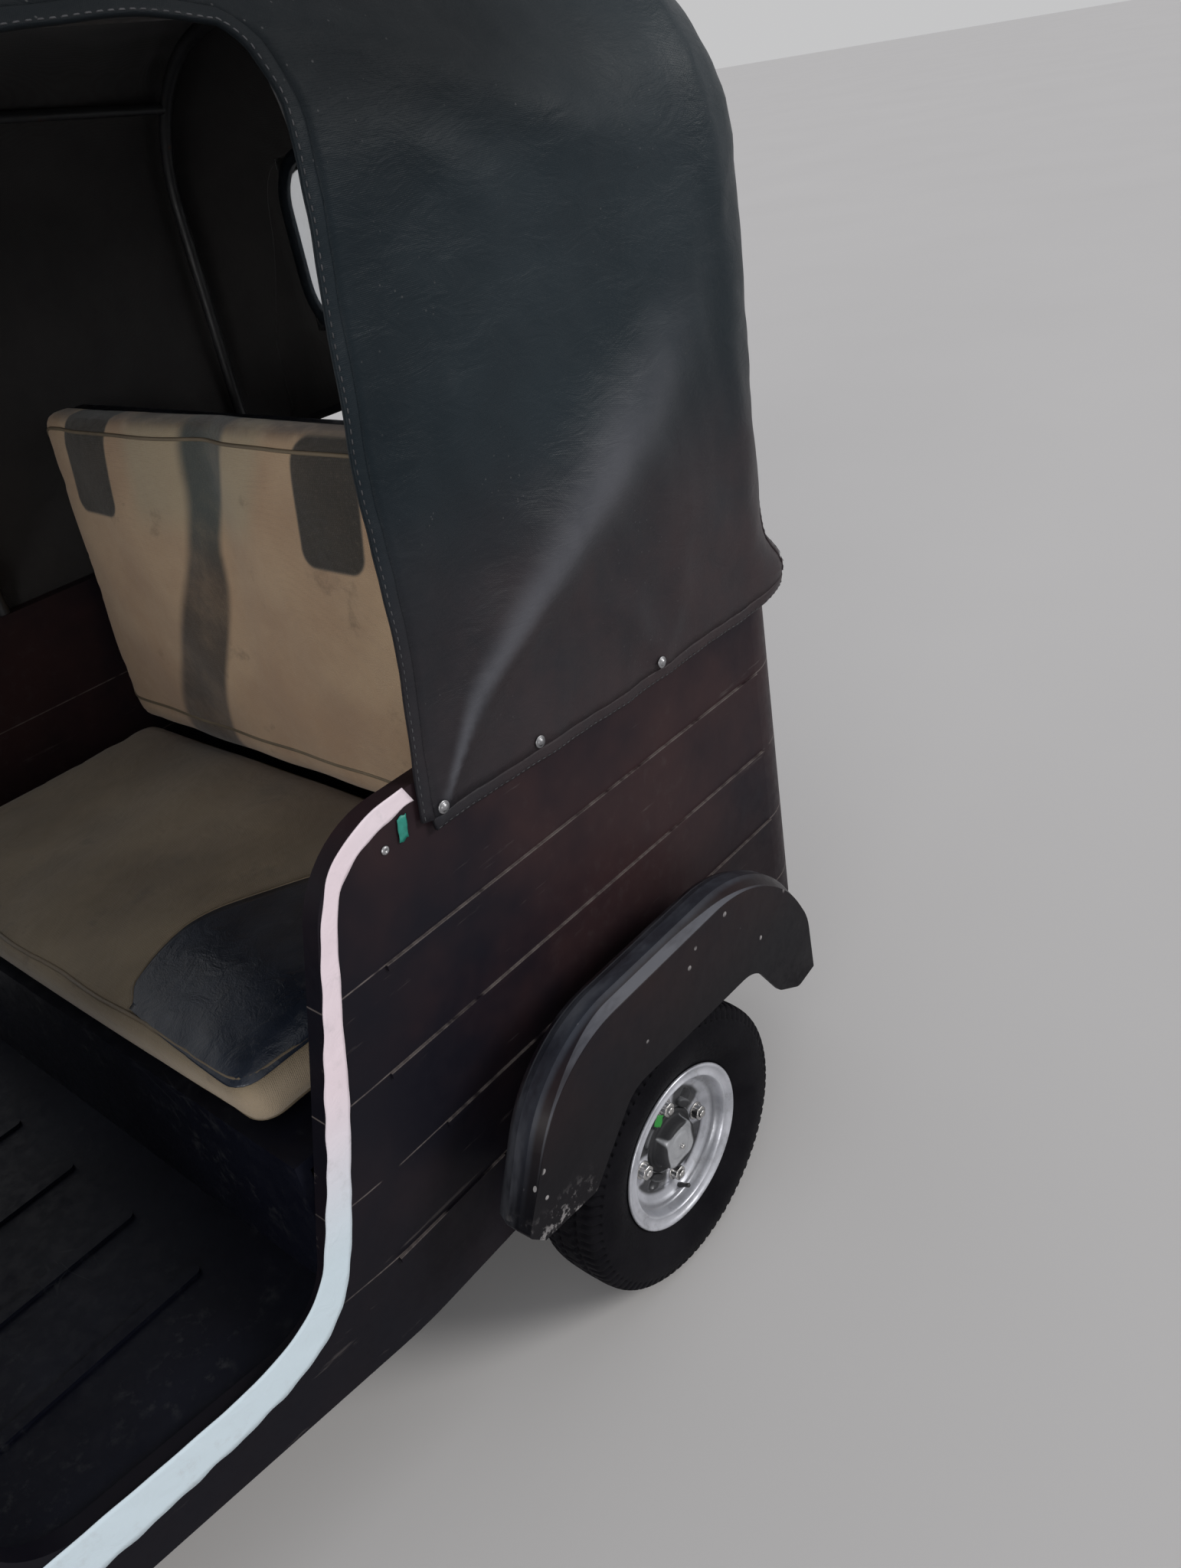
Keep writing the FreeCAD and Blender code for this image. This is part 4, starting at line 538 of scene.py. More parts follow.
def seat_cloth(name, marked):
    """Khaki-beige woven covers: fine weave, sat-in stains; the back has panels and two tags."""
    f = Finish(name, specular_ior_level=0.25, sheen_weight=0.25, sheen_roughness=0.5)
    cloud = f.noise(4.5, 4, 0.6)
    stain = f.noise(13, 5, 0.65, shift=(2, 8, 1))
    fine = f.noise(300, 3, 0.6)
    across, up = f.axis("X"), f.axis("Z")
    if marked:
        base = f.mix((0.37, 0.245, 0.155), (0.47, 0.335, 0.215), cloud.spread(0.3, 0.7))
        # The dark middle stripe between two lobed panels, its browner lower part painted shade
        right = up.spread(0.660, 0.960, -0.172, -0.062) + up.spread(0.98, 1.15, 0, 0.064)
        left = up.spread(0.66, 0.99, -0.302, -0.152) + up.spread(0.90, 1.08, 0, 0.052)
        stripe = (across - left).above(0.0, 0.026) * (right - across).above(0.0, 0.018)
        pale = (right + 0.085 - across).above(0.0, 0.05) * (across - left + 0.13).above(0.0, 0.05)
        pale = pale * up.spread(0.99, 1.06)
        base = f.mix(base, (0.38, 0.34, 0.235), pale * 0.55)
        dim = f.mix((0.060, 0.046, 0.036), (0.060, 0.072, 0.070), up.spread(0.92, 1.06))
        base = f.mix(base, dim, stripe * stain.spread(0.2, 0.6, 0.72, 0.96))
        top = up.spread(1.145, 1.165) * f.noise(20, 3).spread(0.3, 0.6)
        base = f.mix(base, (0.085, 0.055, 0.042), top * 0.75)
        for x, z in TAGS:
            wide = (abs(across - x - (up - z) * 0.10) - 0.036).most(0)
            tall = (abs(up - z) - 0.056).most(0)
            off = (wide * wide + tall * tall).root()
            tag = off.spread(0.0245, 0.0225)
            base = f.mix(base, (0.024, 0.024, 0.022), tag * stain.spread(0.2, 0.8, 0.93, 0.98))
            edge = off.spread(0.0205, 0.0225) * off.spread(0.0265, 0.0245)
            base = f.mix(base, (0.15, 0.12, 0.09), edge * 0.5)
    else:
        base = f.mix((0.150, 0.115, 0.072), (0.240, 0.190, 0.122), cloud.spread(0.3, 0.7))
        worn = stain.spread(0.45, 0.75) * cloud.spread(0.35, 0.65)
        base = f.mix(base, (0.30, 0.235, 0.16), worn * 0.4)
        # Painted shadow towards the back, where the seat meets the backrest; paler down the front edge
        base = f.mix(base, (0.075, 0.052, 0.034), f.axis("Y").spread(0.72, 0.88) * 0.55)
        base = f.mix(base, (0.46, 0.36, 0.25), up.spread(0.635, 0.60) * 0.75)
    base = f.mix(base, (0.06, 0.045, 0.03), stain.above(0.66, 0.12) * 0.35)
    f.set(base_color=f.mix(base, (0.30, 0.25, 0.19), fine.spread(0.5, 0.8) * 0.18))
    f.set(roughness=fine.spread(0.3, 0.7, 0.78, 0.92))
    soft = f.bump(f.noise(16, 4, 0.6, warp=0.4), 0.006, 0.45)
    return f.set(normal=f.bump(weave(f, 0.0022) * 0.7 + fine * 0.3, 0.0006, 0.7, soft)).material


def vinyl(name, dark, light, smooth=0.26, rough=0.42):
    """Vinyl cloth: leather grain, soft wrinkles, rubbed patches."""
    f = Finish(name, specular_ior_level=0.5)
    cloud = f.noise(9, 4, 0.6)
    grain = f.cells(520)
    wrinkle = f.noise(30, 4, 0.6, warp=1.0)
    base = f.mix(dark, light, cloud.spread(0.3, 0.7))
    rub = f.noise(40, 5, 0.7).spread(0.55, 0.75)
    f.set(base_color=f.mix(base, (0.10, 0.105, 0.11), rub * 0.25))
    f.set(roughness=cloud.spread(0.3, 0.7, smooth, rough) + rub * 0.15)
    return f.set(normal=f.bump(grain, 0.0003, 0.5, f.bump(wrinkle, 0.003, 0.5))).material


FINISH = {
    "seat_fabric": seat_cloth("seat_cloth", False),
    "back_fabric": seat_cloth("back_cloth", True),
    "piping": vinyl("seat_piping", (0.110, 0.085, 0.055), (0.180, 0.140, 0.092), 0.5, 0.65),
    "vinyl": vinyl("navy_vinyl", (0.010, 0.014, 0.024), (0.020, 0.027, 0.042)),
    "mirror": mirror_face(),
    "dial_white": dial_white(),
    "driver_vinyl": vinyl("driver_vinyl", (0.012, 0.012, 0.014), (0.028, 0.027, 0.030), 0.34, 0.5),
    "binding": binding_cloth(),
    "thread": sewing_thread(),
    "canvas": coated_canvas(),
    "lining": canvas_lining(),
    "body_paint": body_enamel(),
    "guard": guard_enamel(),
    "floor_paint": floor_enamel(),
    "frame_black": frame_paint(),
    "steel": bare_metal("plain_steel", (0.26, 0.26, 0.27), (0.44, 0.44, 0.45), 0.32, 0.48),
    "hub_metal": cast_hub(),
    "nut_steel": bare_metal("nut_steel", (0.40, 0.39, 0.38), (0.62, 0.61, 0.60), 0.24, 0.38),
    "engine_metal": bare_metal("cast_engine", (0.20, 0.20, 0.21), (0.34, 0.34, 0.35), 0.5, 0.7,
                               0.7, 0.5),
    "rim_silver": rim_enamel(),
    "tyre": tyre_rubber(),
    "glass": clear_sheet("screen_glass", (0.90, 0.94, 0.93), 0.01, 0.10),
    "clear_film": clear_sheet("window_film", (0.86, 0.89, 0.91), 0.10, 0.5),
    "amber_lens": lens("amber_lens", (0.85, 0.28, 0.02)),
    "red_lens": lens("red_lens", (0.55, 0.012, 0.010)),
    "chrome": bright_plate(),
    "black_plastic": moulded_black(),
    "tape": white_tape(),
    "green": green_tape(),
}


# Shapes

def join_forms(forms):
    """Points and faces of several forms as one."""
    points, faces = [], []
    for some, sides in forms:
        start = len(points)
        points.extend(some)
        faces.extend([tuple(start + i for i in side) for side in sides])
    return points, faces


def piece(name, forms, body, slot, finish=None, smooth=True):
    """One mesh of some forms, in the vehicle's frame, that rides on a body."""
    points, faces = join_forms(forms)
    mesh = bpy.data.meshes.new(name)
    mesh.from_pydata([tuple(map(float, p)) for p in points], [], faces)
    mesh.validate()
    if smooth:
        mesh.shade_smooth()
    made = bpy.data.objects.new(name, mesh)
    bpy.context.scene.collection.objects.link(made)
    mesh.materials.append(FINISH[finish or slot])
    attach(made, body)
    return made


def points_of(made):
    return np.array([v.co for v in made.data.vertices])


def modify(made, kind, **settings):
    change = made.modifiers.new(kind.title(), kind)
    for name, value in settings.items():
        setattr(change, name, value)
    return made


def lattice(rows, columns, loop_rows=False, loop_columns=False, start=0):
    """Quads over a grid of points that was laid out row by row."""
    faces = []
    for i in range(rows if loop_rows else rows - 1):
        for j in range(columns if loop_columns else columns - 1):
            a, b = i, (i + 1) % rows
            c, d = j, (j + 1) % columns
            faces.append((start + a * columns + c, start + a * columns + d,
                          start + b * columns + d, start + b * columns + c))
    return faces


def smooth_line(points, rounds=3, closed=False):
    """The corner-cut line through points: each round cuts every corner a quarter of the way."""
    line = np.asarray(points, float)
    for _ in range(rounds):
        ahead = np.roll(line, -1, 0) if closed else line[1:]
        here = line if closed else line[:-1]
        cut = np.empty((2 * len(here), line.shape[1]))
        cut[0::2] = 0.75 * here + 0.25 * ahead
        cut[1::2] = 0.25 * here + 0.75 * ahead
        line = cut if closed else np.vstack([line[:1], cut, line[-1:]])
    return line


def paced(line, step=None, count=None):
    """A line's points again, at even paces."""
    line = np.asarray(line, float)
    runs = np.r_[0, np.cumsum(np.linalg.norm(np.diff(line, axis=0), axis=1))]
    count = count or max(2, int(round(runs[-1] / step)) + 1)
    at = np.linspace(0, runs[-1], count)
    return np.stack([np.interp(at, runs, line[:, k]) for k in range(line.shape[1])], 1)


def ease(value, low, high):
    t = np.clip((np.asarray(value, float) - low) / (high - low), 0, 1)
    return t * t * (3 - 2 * t)


def turned(profile, centre, axis="X", steps=48, closed=False):
    """A form spun from a profile of (along, radius) about an axle through centre."""
    points = []
    for k in range(steps):
        turn = 2 * math.pi * k / steps
        for along, radius in profile:
            a, b = radius * math.cos(turn), radius * math.sin(turn)
            spot = {"X": (along, a, b), "Y": (a, along, b), "Z": (a, b, along)}[axis]
            points.append(tuple(centre[i] + spot[i] for i in range(3)))
    return points, lattice(steps, len(profile), loop_rows=True, loop_columns=closed)


def rounded(low, high, bend, steps=8, first=0):
    """A rounded rectangle's outline, anticlockwise; its first corner is 0 at the upper right."""
    corners = [(1, 1, 0), (-1, 1, 90), (-1, -1, 180), (1, -1, 270)]
    line = []
    for sx, sy, start in corners[first:] + corners[:first]:
        x = (high[0] if sx > 0 else low[0]) - sx * bend
        y = (high[1] if sy > 0 else low[1]) - sy * bend
        for k in range(steps + 1):
            turn = math.radians(start + 90 * k / steps)
            line.append((x + bend * math.cos(turn), y + bend * math.sin(turn)))
    return line


def paced_loop(line, step=None, count=None):
    """A closed line's points at even paces, without its first point again at its end."""
    return paced(np.vstack([line, line[:1]]), step, count)[:-1]


def stand(form, origin, along):
    """A form made round the Z axis, stood at origin with its Z along a direction."""
    points, faces = form
    along = Vector(along).normalized()
    side = along.cross(Vector((0, 0, 1)))
    if side.length < 1e-3:
        side = along.cross(Vector((0, 1, 0)))
    side.normalize()
    other = along.cross(side)
    base = Vector(origin)
    return [tuple(base + side * x + other * y + along * z) for x, y, z in points], faces


def knob(profile, steps=24):
    """A round form about Z from (height, radius) pairs, closed where the radius is nothing."""
    return turned(profile, (0, 0, 0), "Z", steps)


# Camera, floor and light

# The photo's camera: where it stands, its turn, tilt and roll in degrees, and its focal length
# and the photo's height in pixels
CAMERA_SPOT = (1.409, 0.030, 1.486)
CAMERA_TURNS = (44.78, 30.59, -10.56)
FOCAL_PIXELS, PHOTO_PIXELS = 1576, 2048
FLOOR_HALF = 60


def photo_camera():
    """The camera that the photo was matched to."""
    azimuth, elevation, roll = (math.radians(a) for a in CAMERA_TURNS)
    back = Vector((math.sin(azimuth) * math.cos(elevation),
                   -math.cos(azimuth) * math.cos(elevation), math.sin(elevation)))
    level = Vector((math.cos(azimuth), math.sin(azimuth), 0))
    upright = back.cross(level)
    right = level * math.cos(roll) + upright * math.sin(roll)
    up = upright * math.cos(roll) - level * math.sin(roll)
    data = bpy.data.cameras.new("photo_camera")
    data.sensor_width = 36
    data.lens = data.sensor_width * FOCAL_PIXELS / PHOTO_PIXELS
    data.clip_start = 0.02
    made = bpy.data.objects.new("photo_camera", data)
    bpy.context.scene.collection.objects.link(made)
    made.matrix_world = Matrix.Translation(CAMERA_SPOT) @ Matrix((right, up, back)).transposed().to_4x4()
    bpy.context.scene.camera = made


def studio():
    """A pale floor, an even pale sky and three broad soft lights."""
    scene = bpy.context.scene
    scene.view_settings.view_transform = "Standard"
    world = bpy.data.worlds.new("pale_sky")
    scene.world = world
    world.use_nodes = True
    tree = world.node_tree
    # What is seen straight, mirrored or through glass is paler than what lights the scene
    path = tree.nodes.new("ShaderNodeLightPath")
    seen = path.outputs["Is Camera Ray"]
    for name in ("Is Glossy Ray", "Is Transmission Ray"):
        more = tree.nodes.new("ShaderNodeMath")
        more.operation = "MAXIMUM"
        tree.links.new(seen, more.inputs[0])
        tree.links.new(path.outputs[name], more.inputs[1])
        seen = more.outputs[0]
    pick = tree.nodes.new("ShaderNodeMix")
    pick.data_type = "RGBA"
    pick.inputs[6].default_value = (0.36, 0.37, 0.395, 1)
    pick.inputs[7].default_value = (0.56, 0.56, 0.565, 1)
    tree.links.new(seen, pick.inputs[0])
    tree.links.new(pick.outputs[2], tree.nodes["Background"].inputs[0])

    ground = bpy.data.meshes.new("floor")
    corners = [(FLOOR_HALF * x, FLOOR_HALF * y, 0) for x, y in ((-1, -1), (1, -1), (1, 1), (-1, 1))]
    ground.from_pydata(corners, [], [(0, 1, 2, 3)])
    floor = bpy.data.objects.new("floor", ground)
    scene.collection.objects.link(floor)
    finish = Finish("pale_floor", specular_ior_level=0.0)
    cloud = finish.noise(0.7, 3)
    finish.set(base_color=finish.mix((0.63, 0.615, 0.605), (0.67, 0.655, 0.645), cloud),
               roughness=0.9)
    ground.materials.append(finish.material)

    for name, aim, spread, power, tint in (
        ("key_light", (-0.717, -0.506, -0.481), 22, 1.55, (1.0, 0.985, 0.965)),
        ("top_light", (0.10, 0.25, -1.0), 70, 0.18, (0.96, 0.98, 1.0)),
        ("front_light", (-0.45, 0.87, -0.20), 30, 1.05, (1.0, 0.985, 0.965)),
    ):
        data = bpy.data.lights.new(name, "SUN")
        data.angle = math.radians(spread)
        data.energy = power
        data.color = tint
        lamp = bpy.data.objects.new(name, data)
        scene.collection.objects.link(lamp)
        lamp.location = [-4 * v for v in aim]
        lamp.rotation_euler = Vector(aim).to_track_quat("-Z", "Y").to_euler()


photo_camera()
studio()


# The hood's canvas. A spot on it is (way, run): way goes back along the vehicle and round its
# rear corner, and run goes out from the crown and down the side, both in metres of canvas

HOOD_Y = (-0.862, -0.030, 0.640, 1.396)
HOOD_HALF = (0.420, 0.473, 0.532, 0.532)
HOOD_SHOULDER = (0.100, 0.150, 0.220, 0.262)
HOOD_CROWN = (1.628, 1.700, 1.705, 1.655)
# The shoulder sweeps from upright to where the roof's own shallow arc meets it
SWEEP = math.radians(78)
ROOF_TILT = math.pi / 2 - SWEEP
HEM = ((0.66, 0.843), (0.80, 0.838), (1.00, 0.828), (1.25, 0.829), (1.40, 0.840))
CORNER_Y, CORNER_R = 1.288, 0.108
TOP_BEND = smooth_line([(1.288, 0), (1.334, 0.003), (1.383, 0.104), (1.396, 0.150),
                        (1.396, 0.330)], 4)
TOP_RUN = np.r_[0, np.cumsum(np.linalg.norm(np.diff(TOP_BEND, axis=0), axis=1))]
DOOR_EDGE = np.array([(0.672, 0.810), (0.682, 0.884), (0.700, 1.000), (0.706, 1.200),
                      (0.730, 1.440), (0.737, 1.495), (0.724, 1.544), (0.704, 1.565)])
TOP_EDGE = np.array([(-0.892, 1.556), (0.0, 1.586), (0.640, 1.580), (0.704, 1.565)])
REAR_SEAM = np.array([(0.79, 0.516), (0.82, 0.515), (0.90, 0.503), (0.98, 0.487), (1.03, 0.480),
                      (1.141, 0.478), (1.303, 0.430), (1.471, 0.396), (1.60, 0.394)])
HOOPS = (-0.862, -0.030, 0.745, 1.270, 1.396)


def arch_sizes(y):
    """The arch at y: half width, crown, shoulder radius, roof radius, height of the shoulder's foot."""
    half, crown, bend = (np.interp(y, HOOD_Y, row) for row in (HOOD_HALF, HOOD_CROWN, HOOD_SHOULDER))
    chord = half - bend + bend * math.cos(SWEEP)
    foot = crown - chord * math.tan(ROOF_TILT / 2) - bend * math.sin(SWEEP)
    return half, crown, bend, chord / math.sin(ROOF_TILT), foot


def arch(y, run):
    """The hood's arch at y: x, z and the outward direction's x and z, run metres from the crown."""
    half, crown, bend, roof, foot = arch_sizes(y)
    out = np.abs(run)
    lean = np.clip(out / roof, 0, ROOF_TILT)
    angle = np.clip(SWEEP - (out - roof * ROOF_TILT) / bend, 0, SWEEP)
    drop = np.maximum(out - roof * ROOF_TILT - bend * SWEEP, 0)
    on_roof = out < roof * ROOF_TILT
    x = np.where(on_roof, roof * np.sin(lean), half - bend + bend * np.cos(angle))
    z = np.where(on_roof, crown - roof * (1 - np.cos(lean)), foot + bend * np.sin(angle) - drop)
    nx = np.where(on_roof, np.sin(lean), np.cos(angle))
    nz = np.where(on_roof, np.cos(lean), np.sin(angle))
    side = np.where(np.asarray(run) < 0, -1.0, 1.0)
    return x * side, z, nx * side, nz


def hem_height(y):
    return np.interp(y, [h[0] for h in HEM], [h[1] for h in HEM])


def full_run(y):
    """Run from the crown to the hem at y."""
    bend, roof, foot = arch_sizes(y)[2:]
    return roof * ROOF_TILT + bend * SWEEP + foot - hem_height(y)


def cloth_height(way, run):
    """A spot's height, counted up the canvas from the hem."""
    y = np.minimum(way, HOOD_Y[-1])
    return hem_height(y) + full_run(y) - np.abs(run)


def run_at(y, z):
    """Run from the crown to where the arch at y reaches height z."""
    runs = np.linspace(0, float(full_run(y)) + 0.1, 900)
    heights = arch(np.full(900, y), runs)[1]
    return float(np.interp(-z, -heights, runs))


def bare(way, run):
    """The hood's plain surface, before sag and folds."""
    way, run = np.broadcast_arrays(np.asarray(way, float), np.asarray(run, float))
    past = np.maximum(way - CORNER_Y, 0)
    turn = np.clip(past / CORNER_R, 0, math.pi / 2)
    side_y = np.where(past > 0, CORNER_Y + CORNER_R * np.sin(turn), way)
    side_in = CORNER_R * (1 - np.cos(turn)) + np.maximum(past - CORNER_R * math.pi / 2, 0)
    top_y = np.where(past > 0, np.interp(past, TOP_RUN, TOP_BEND[:, 0]), way)
    top_in = np.interp(past, TOP_RUN, TOP_BEND[:, 1])
    rise = ease(arch(np.minimum(way, HOOD_Y[-1]), run)[3], 0.25, 0.92)
    y = side_y + (top_y - side_y) * rise
    inset = side_in + (top_in - side_in) * rise
    x, z, nx, nz = arch(y, run)
    return np.stack([x - nx * inset, y, z - nz * inset], -1)


def ridge(way, height, line, widths, heights):
    """A fold's height at a spot, along a line of (way, height) spots."""
    line = np.asarray(line, float)
    best = np.full(way.shape, 1e9)
    wide, tall = np.zeros(way.shape), np.zeros(way.shape)
    for k in range(len(line) - 1):
        a, b = line[k], line[k + 1]
        along = b - a
        t = np.clip(((way - a[0]) * along[0] + (height - a[1]) * along[1]) / (along @ along), 0, 1)
        off = np.hypot(way - a[0] - along[0] * t, height - a[1] - along[1] * t)
        nearer = off < best
        best = np.where(nearer, off, best)
        wide = np.where(nearer, widths[k] + (widths[k + 1] - widths[k]) * t, wide)
        tall = np.where(nearer, heights[k] + (heights[k + 1] - heights[k]) * t, tall)
    return tall * np.exp(-(best / np.maximum(wide, 1e-4)) ** 2)


# Folds on a side: line of (way, height on the side), widths and heights at its spots, in metres
FOLDS = (
    ([(0.684, 0.836), (0.705, 0.869), (0.758, 0.926), (0.822, 0.979), (0.899, 1.027),
      (0.979, 1.078), (1.078, 1.142), (1.181, 1.215), (1.235, 1.34)],
     (0.012, 0.018, 0.026, 0.032, 0.038, 0.046, 0.055, 0.06, 0.06),
     (0.002, 0.009, 0.013, 0.016, 0.018, 0.019, 0.017, 0.011, 0.002)),
    ([(0.700, 0.930), (0.784, 1.040), (0.876, 1.130), (1.003, 1.240), (1.10, 1.36)],
     (0.03, 0.05, 0.06, 0.07, 0.07), (-0.002, -0.007, -0.009, -0.007, 0.0)),
    ([(0.735, 0.865), (0.84, 0.93), (0.98, 0.99), (1.12, 1.03)],
     (0.02, 0.035, 0.05, 0.06), (-0.002, -0.006, -0.007, 0.0)),
    ([(0.743, 1.553), (0.826, 1.529), (0.939, 1.486), (1.073, 1.429), (1.184, 1.407)],
     (0.02, 0.028, 0.034, 0.036, 0.03), (0.003, 0.009, 0.011, 0.009, 0.002)),
    ([(0.808, 1.475), (0.876, 1.425), (0.95, 1.37)], (0.018, 0.024, 0.02), (0.0, 0.006, 0.0)),
    ([(1.255, 1.62), (1.272, 1.40), (1.286, 1.15), (1.302, 0.90)],
     (0.022, 0.02, 0.022, 0.03), (0.007, 0.006, 0.004, 0.002)),
    ([(1.27, 0.835), (1.34, 0.842), (1.42, 0.85)], (0.030, 0.034, 0.034), (0.003, 0.012, 0.010)),
    ([(1.086, 0.829), (1.13, 0.91), (1.17, 1.02)], (0.014, 0.02, 0.03), (0.002, 0.005, 0.0)),
    ([(1.086, 0.829), (1.04, 0.91), (0.985, 0.98)], (0.014, 0.02, 0.03), (0.002, 0.004, 0.0)),
    ([(0.760, 1.30), (0.742, 1.12), (0.716, 0.96)], (0.02, 0.024, 0.02), (0.0, 0.004, 0.0)),
)


def folds(way, run):
    """How far sag and folds lift the canvas off its plain surface."""
    height = cloth_height(way, run)
    rise = arch(np.minimum(way, HOOD_Y[-1]), run)[3]
    lift = np.zeros(way.shape)
    left = ease(run, -0.02, 0.02)
    for line, widths, heights in FOLDS:
        moved = [(w + 0.012, h - 0.01) for w, h in line]
        lift += left * ridge(way, height, line, widths, heights)
        lift += (1 - left) * 0.85 * ridge(way, height, moved, widths, heights)
    # Sag between the hoops, and the belly of the side
    spans = np.interp(way, HOOPS, np.arange(len(HOOPS)))
    sag = np.sin(math.pi * (spans - np.floor(spans))) ** 2
    depth = np.where(way < HOOPS[2], 0.013, 0.007)
    lift -= sag * depth * ease(rise, 0.2, 0.85)
    belly = ease(height, 0.84, 1.1) * ease(height, 1.62, 1.3) * ease(way, 0.70, 0.95)
    lift += 0.007 * belly * ease(way, 1.30, 1.05)
    lift += 0.007 * ease(way, 1.12, 1.27) * ease(height, 1.00, 1.30)
    # Loose ripples
    side = np.where(run > 0, 0.0, 1.7)
    slack = 0.35 + 0.65 * ease(height, 1.65, 1.45)
    lift += slack * 0.0016 * np.sin(31 * way + 5 * np.sin(7 * height + side) + side) * \
        np.sin(17 * height + 4 * np.sin(6 * way) + 2 * side)
    lift += 0.0009 * np.sin(74 * way + 9 * np.sin(11 * height) + side) * \
        np.sin(43 * height + 6 * np.sin(13 * way) + side)
    pulled = ease(way, 0.95, 0.70) * ease(rise, 0.3, 0.7)
    lift += pulled * 0.0022 * np.sin(60 * run + 6 * way) * ease(way, 0.1, 0.6)
    return lift


def canvas(way, run, lift=0.0):
    """A spot on the hood's canvas as it hangs, lifted off its outer face."""
    way, run = np.broadcast_arrays(np.asarray(way, float), np.asarray(run, float))
    step = 1e-3
    along = bare(way + step, run) - bare(way - step, run)
    out = bare(way, run + step) - bare(way, run - step)
    normal = np.cross(out, along)
    normal /= np.maximum(np.linalg.norm(normal, axis=-1, keepdims=True), 1e-9)
    spot = bare(way, run) + normal * (folds(way, run) + lift)[..., None]
    # The loose corner of the hem stands out to the rear
    spot[..., 1] += 0.022 * ease(way, 1.27, 1.345) * ease(cloth_height(way, run), 0.905, 0.845)
    return spot


DOOR_TOP_WAY, DOOR_TOP_Z = TOP_EDGE[-1]
# Where along the canvas a row's height is taken, for its start at the door and its end at the seam
NEAR_DOOR, NEAR_SEAM = 0.71, 1.38
ROOF_RUN = run_at(DOOR_TOP_WAY, DOOR_TOP_Z)
ROOF_ROWS, SIDE_ROWS = 44, 52


def row_run(level, way):
    """Run of a row of the rear part: levels up to 1 cross the roof, from 1 to 2 go down a side."""
    size = abs(level)
    if size <= 1:
        return np.full(np.shape(way), math.copysign(ROOF_RUN * size, level))
    whole = full_run(np.minimum(way, HOOD_Y[-1]))
    return math.copysign(1, level) * (ROOF_RUN + (whole - ROOF_RUN) * (size - 1))


def row_ends(level):
    """Where a row of the rear part starts, at the door edge, and ends, at the rear seam."""
    size = abs(level)
    start = DOOR_TOP_WAY
    if size > 1:
        height = float(arch(NEAR_DOOR, float(row_run(size, NEAR_DOOR)))[1])
        start = float(np.interp(height, DOOR_EDGE[:, 1], DOOR_EDGE[:, 0]))
    height, facing_up = (float(v) for v in arch(HOOD_Y[-1], float(row_run(size, NEAR_SEAM)))[1::2])
    inset = HOOD_HALF[-1] - float(np.interp(height, REAR_SEAM[:, 0], REAR_SEAM[:, 1]))
    if inset <= CORNER_R:
        side_end = CORNER_Y + CORNER_R * math.acos(1 - inset / CORNER_R)
    else:
        side_end = CORNER_Y + CORNER_R * math.pi / 2 + inset - CORNER_R
    top_end = CORNER_Y + 0.235
    return start, side_end + (top_end - side_end) * float(ease(facing_up, 0.25, 0.92))


def hood_levels():
    """The rear part's rows, from the right hem over the crown to the left hem."""
    roof = np.linspace(0, 1, ROOF_ROWS + 1)
    side = 1 + np.linspace(0, 1, SIDE_ROWS + 1)[1:]
    half = np.r_[roof, side]
    return np.r_[-half[:0:-1], half]


def build_canvas():
    """The hood as one sheet: the roof ahead of the doors runs on into the rear part."""
    columns = 58
    rear_ways, rear_runs = [], []
    for level in hood_levels():
        start, end = row_ends(level)
        rear_ways.append(np.linspace(start, end, columns))
        rear_runs.append(row_run(level, rear_ways[-1]))
    points = list(canvas(np.array(rear_ways), np.array(rear_runs)).reshape(-1, 3))
    faces = lattice(len(rear_ways), columns)
    # The roof ahead: its last column is the middle part of the rear's first column
    ways = np.linspace(HOOD_Y[0], DOOR_TOP_WAY, 112)
    edges = np.array([run_at(w, float(np.interp(w, TOP_EDGE[:, 0], TOP_EDGE[:, 1]))) for w in ways])
    edges[-1] = ROOF_RUN
    shares = np.linspace(-1, 1, 2 * ROOF_ROWS + 1)
    roof = canvas(ways[None, :-1] + 0 * shares[:, None], shares[:, None] * edges[None, :-1])
    start, wide = len(points), len(ways) - 1
    points.extend(roof.reshape(-1, 3))
    faces += lattice(len(shares), wide, start=start)
    for i in range(len(shares) - 1):
        here, there = start + i * wide + wide - 1, start + (i + 1) * wide + wide - 1
        faces.append((here, (i + SIDE_ROWS) * columns, (i + 1 + SIDE_ROWS) * columns, there))
    made = piece("hood_sheet", [(points, faces)], "body", "canvas", "lining")
    made.data.materials.append(FINISH["canvas"])
    modify(made, "SOLIDIFY", thickness=0.004, offset=1, material_offset=1,
           material_offset_rim=1, use_rim=True)
    return made, ways, edges


hood_sheet, roof_ways, roof_edges = build_canvas()


# The hood's back panel, with its window

WINDOW_HALF, WINDOW_LOW, WINDOW_HIGH, WINDOW_BEND = 0.380, 1.165, 1.428, 0.075
BACK_HEM = smooth_line([(0.500, 0.985), (0.470, 1.004), (0.434, 1.012), (0.255, 1.058), (0.0, 1.072),
                        (-0.255, 1.058), (-0.434, 1.012), (-0.470, 1.004), (-0.500, 0.985)], 3)


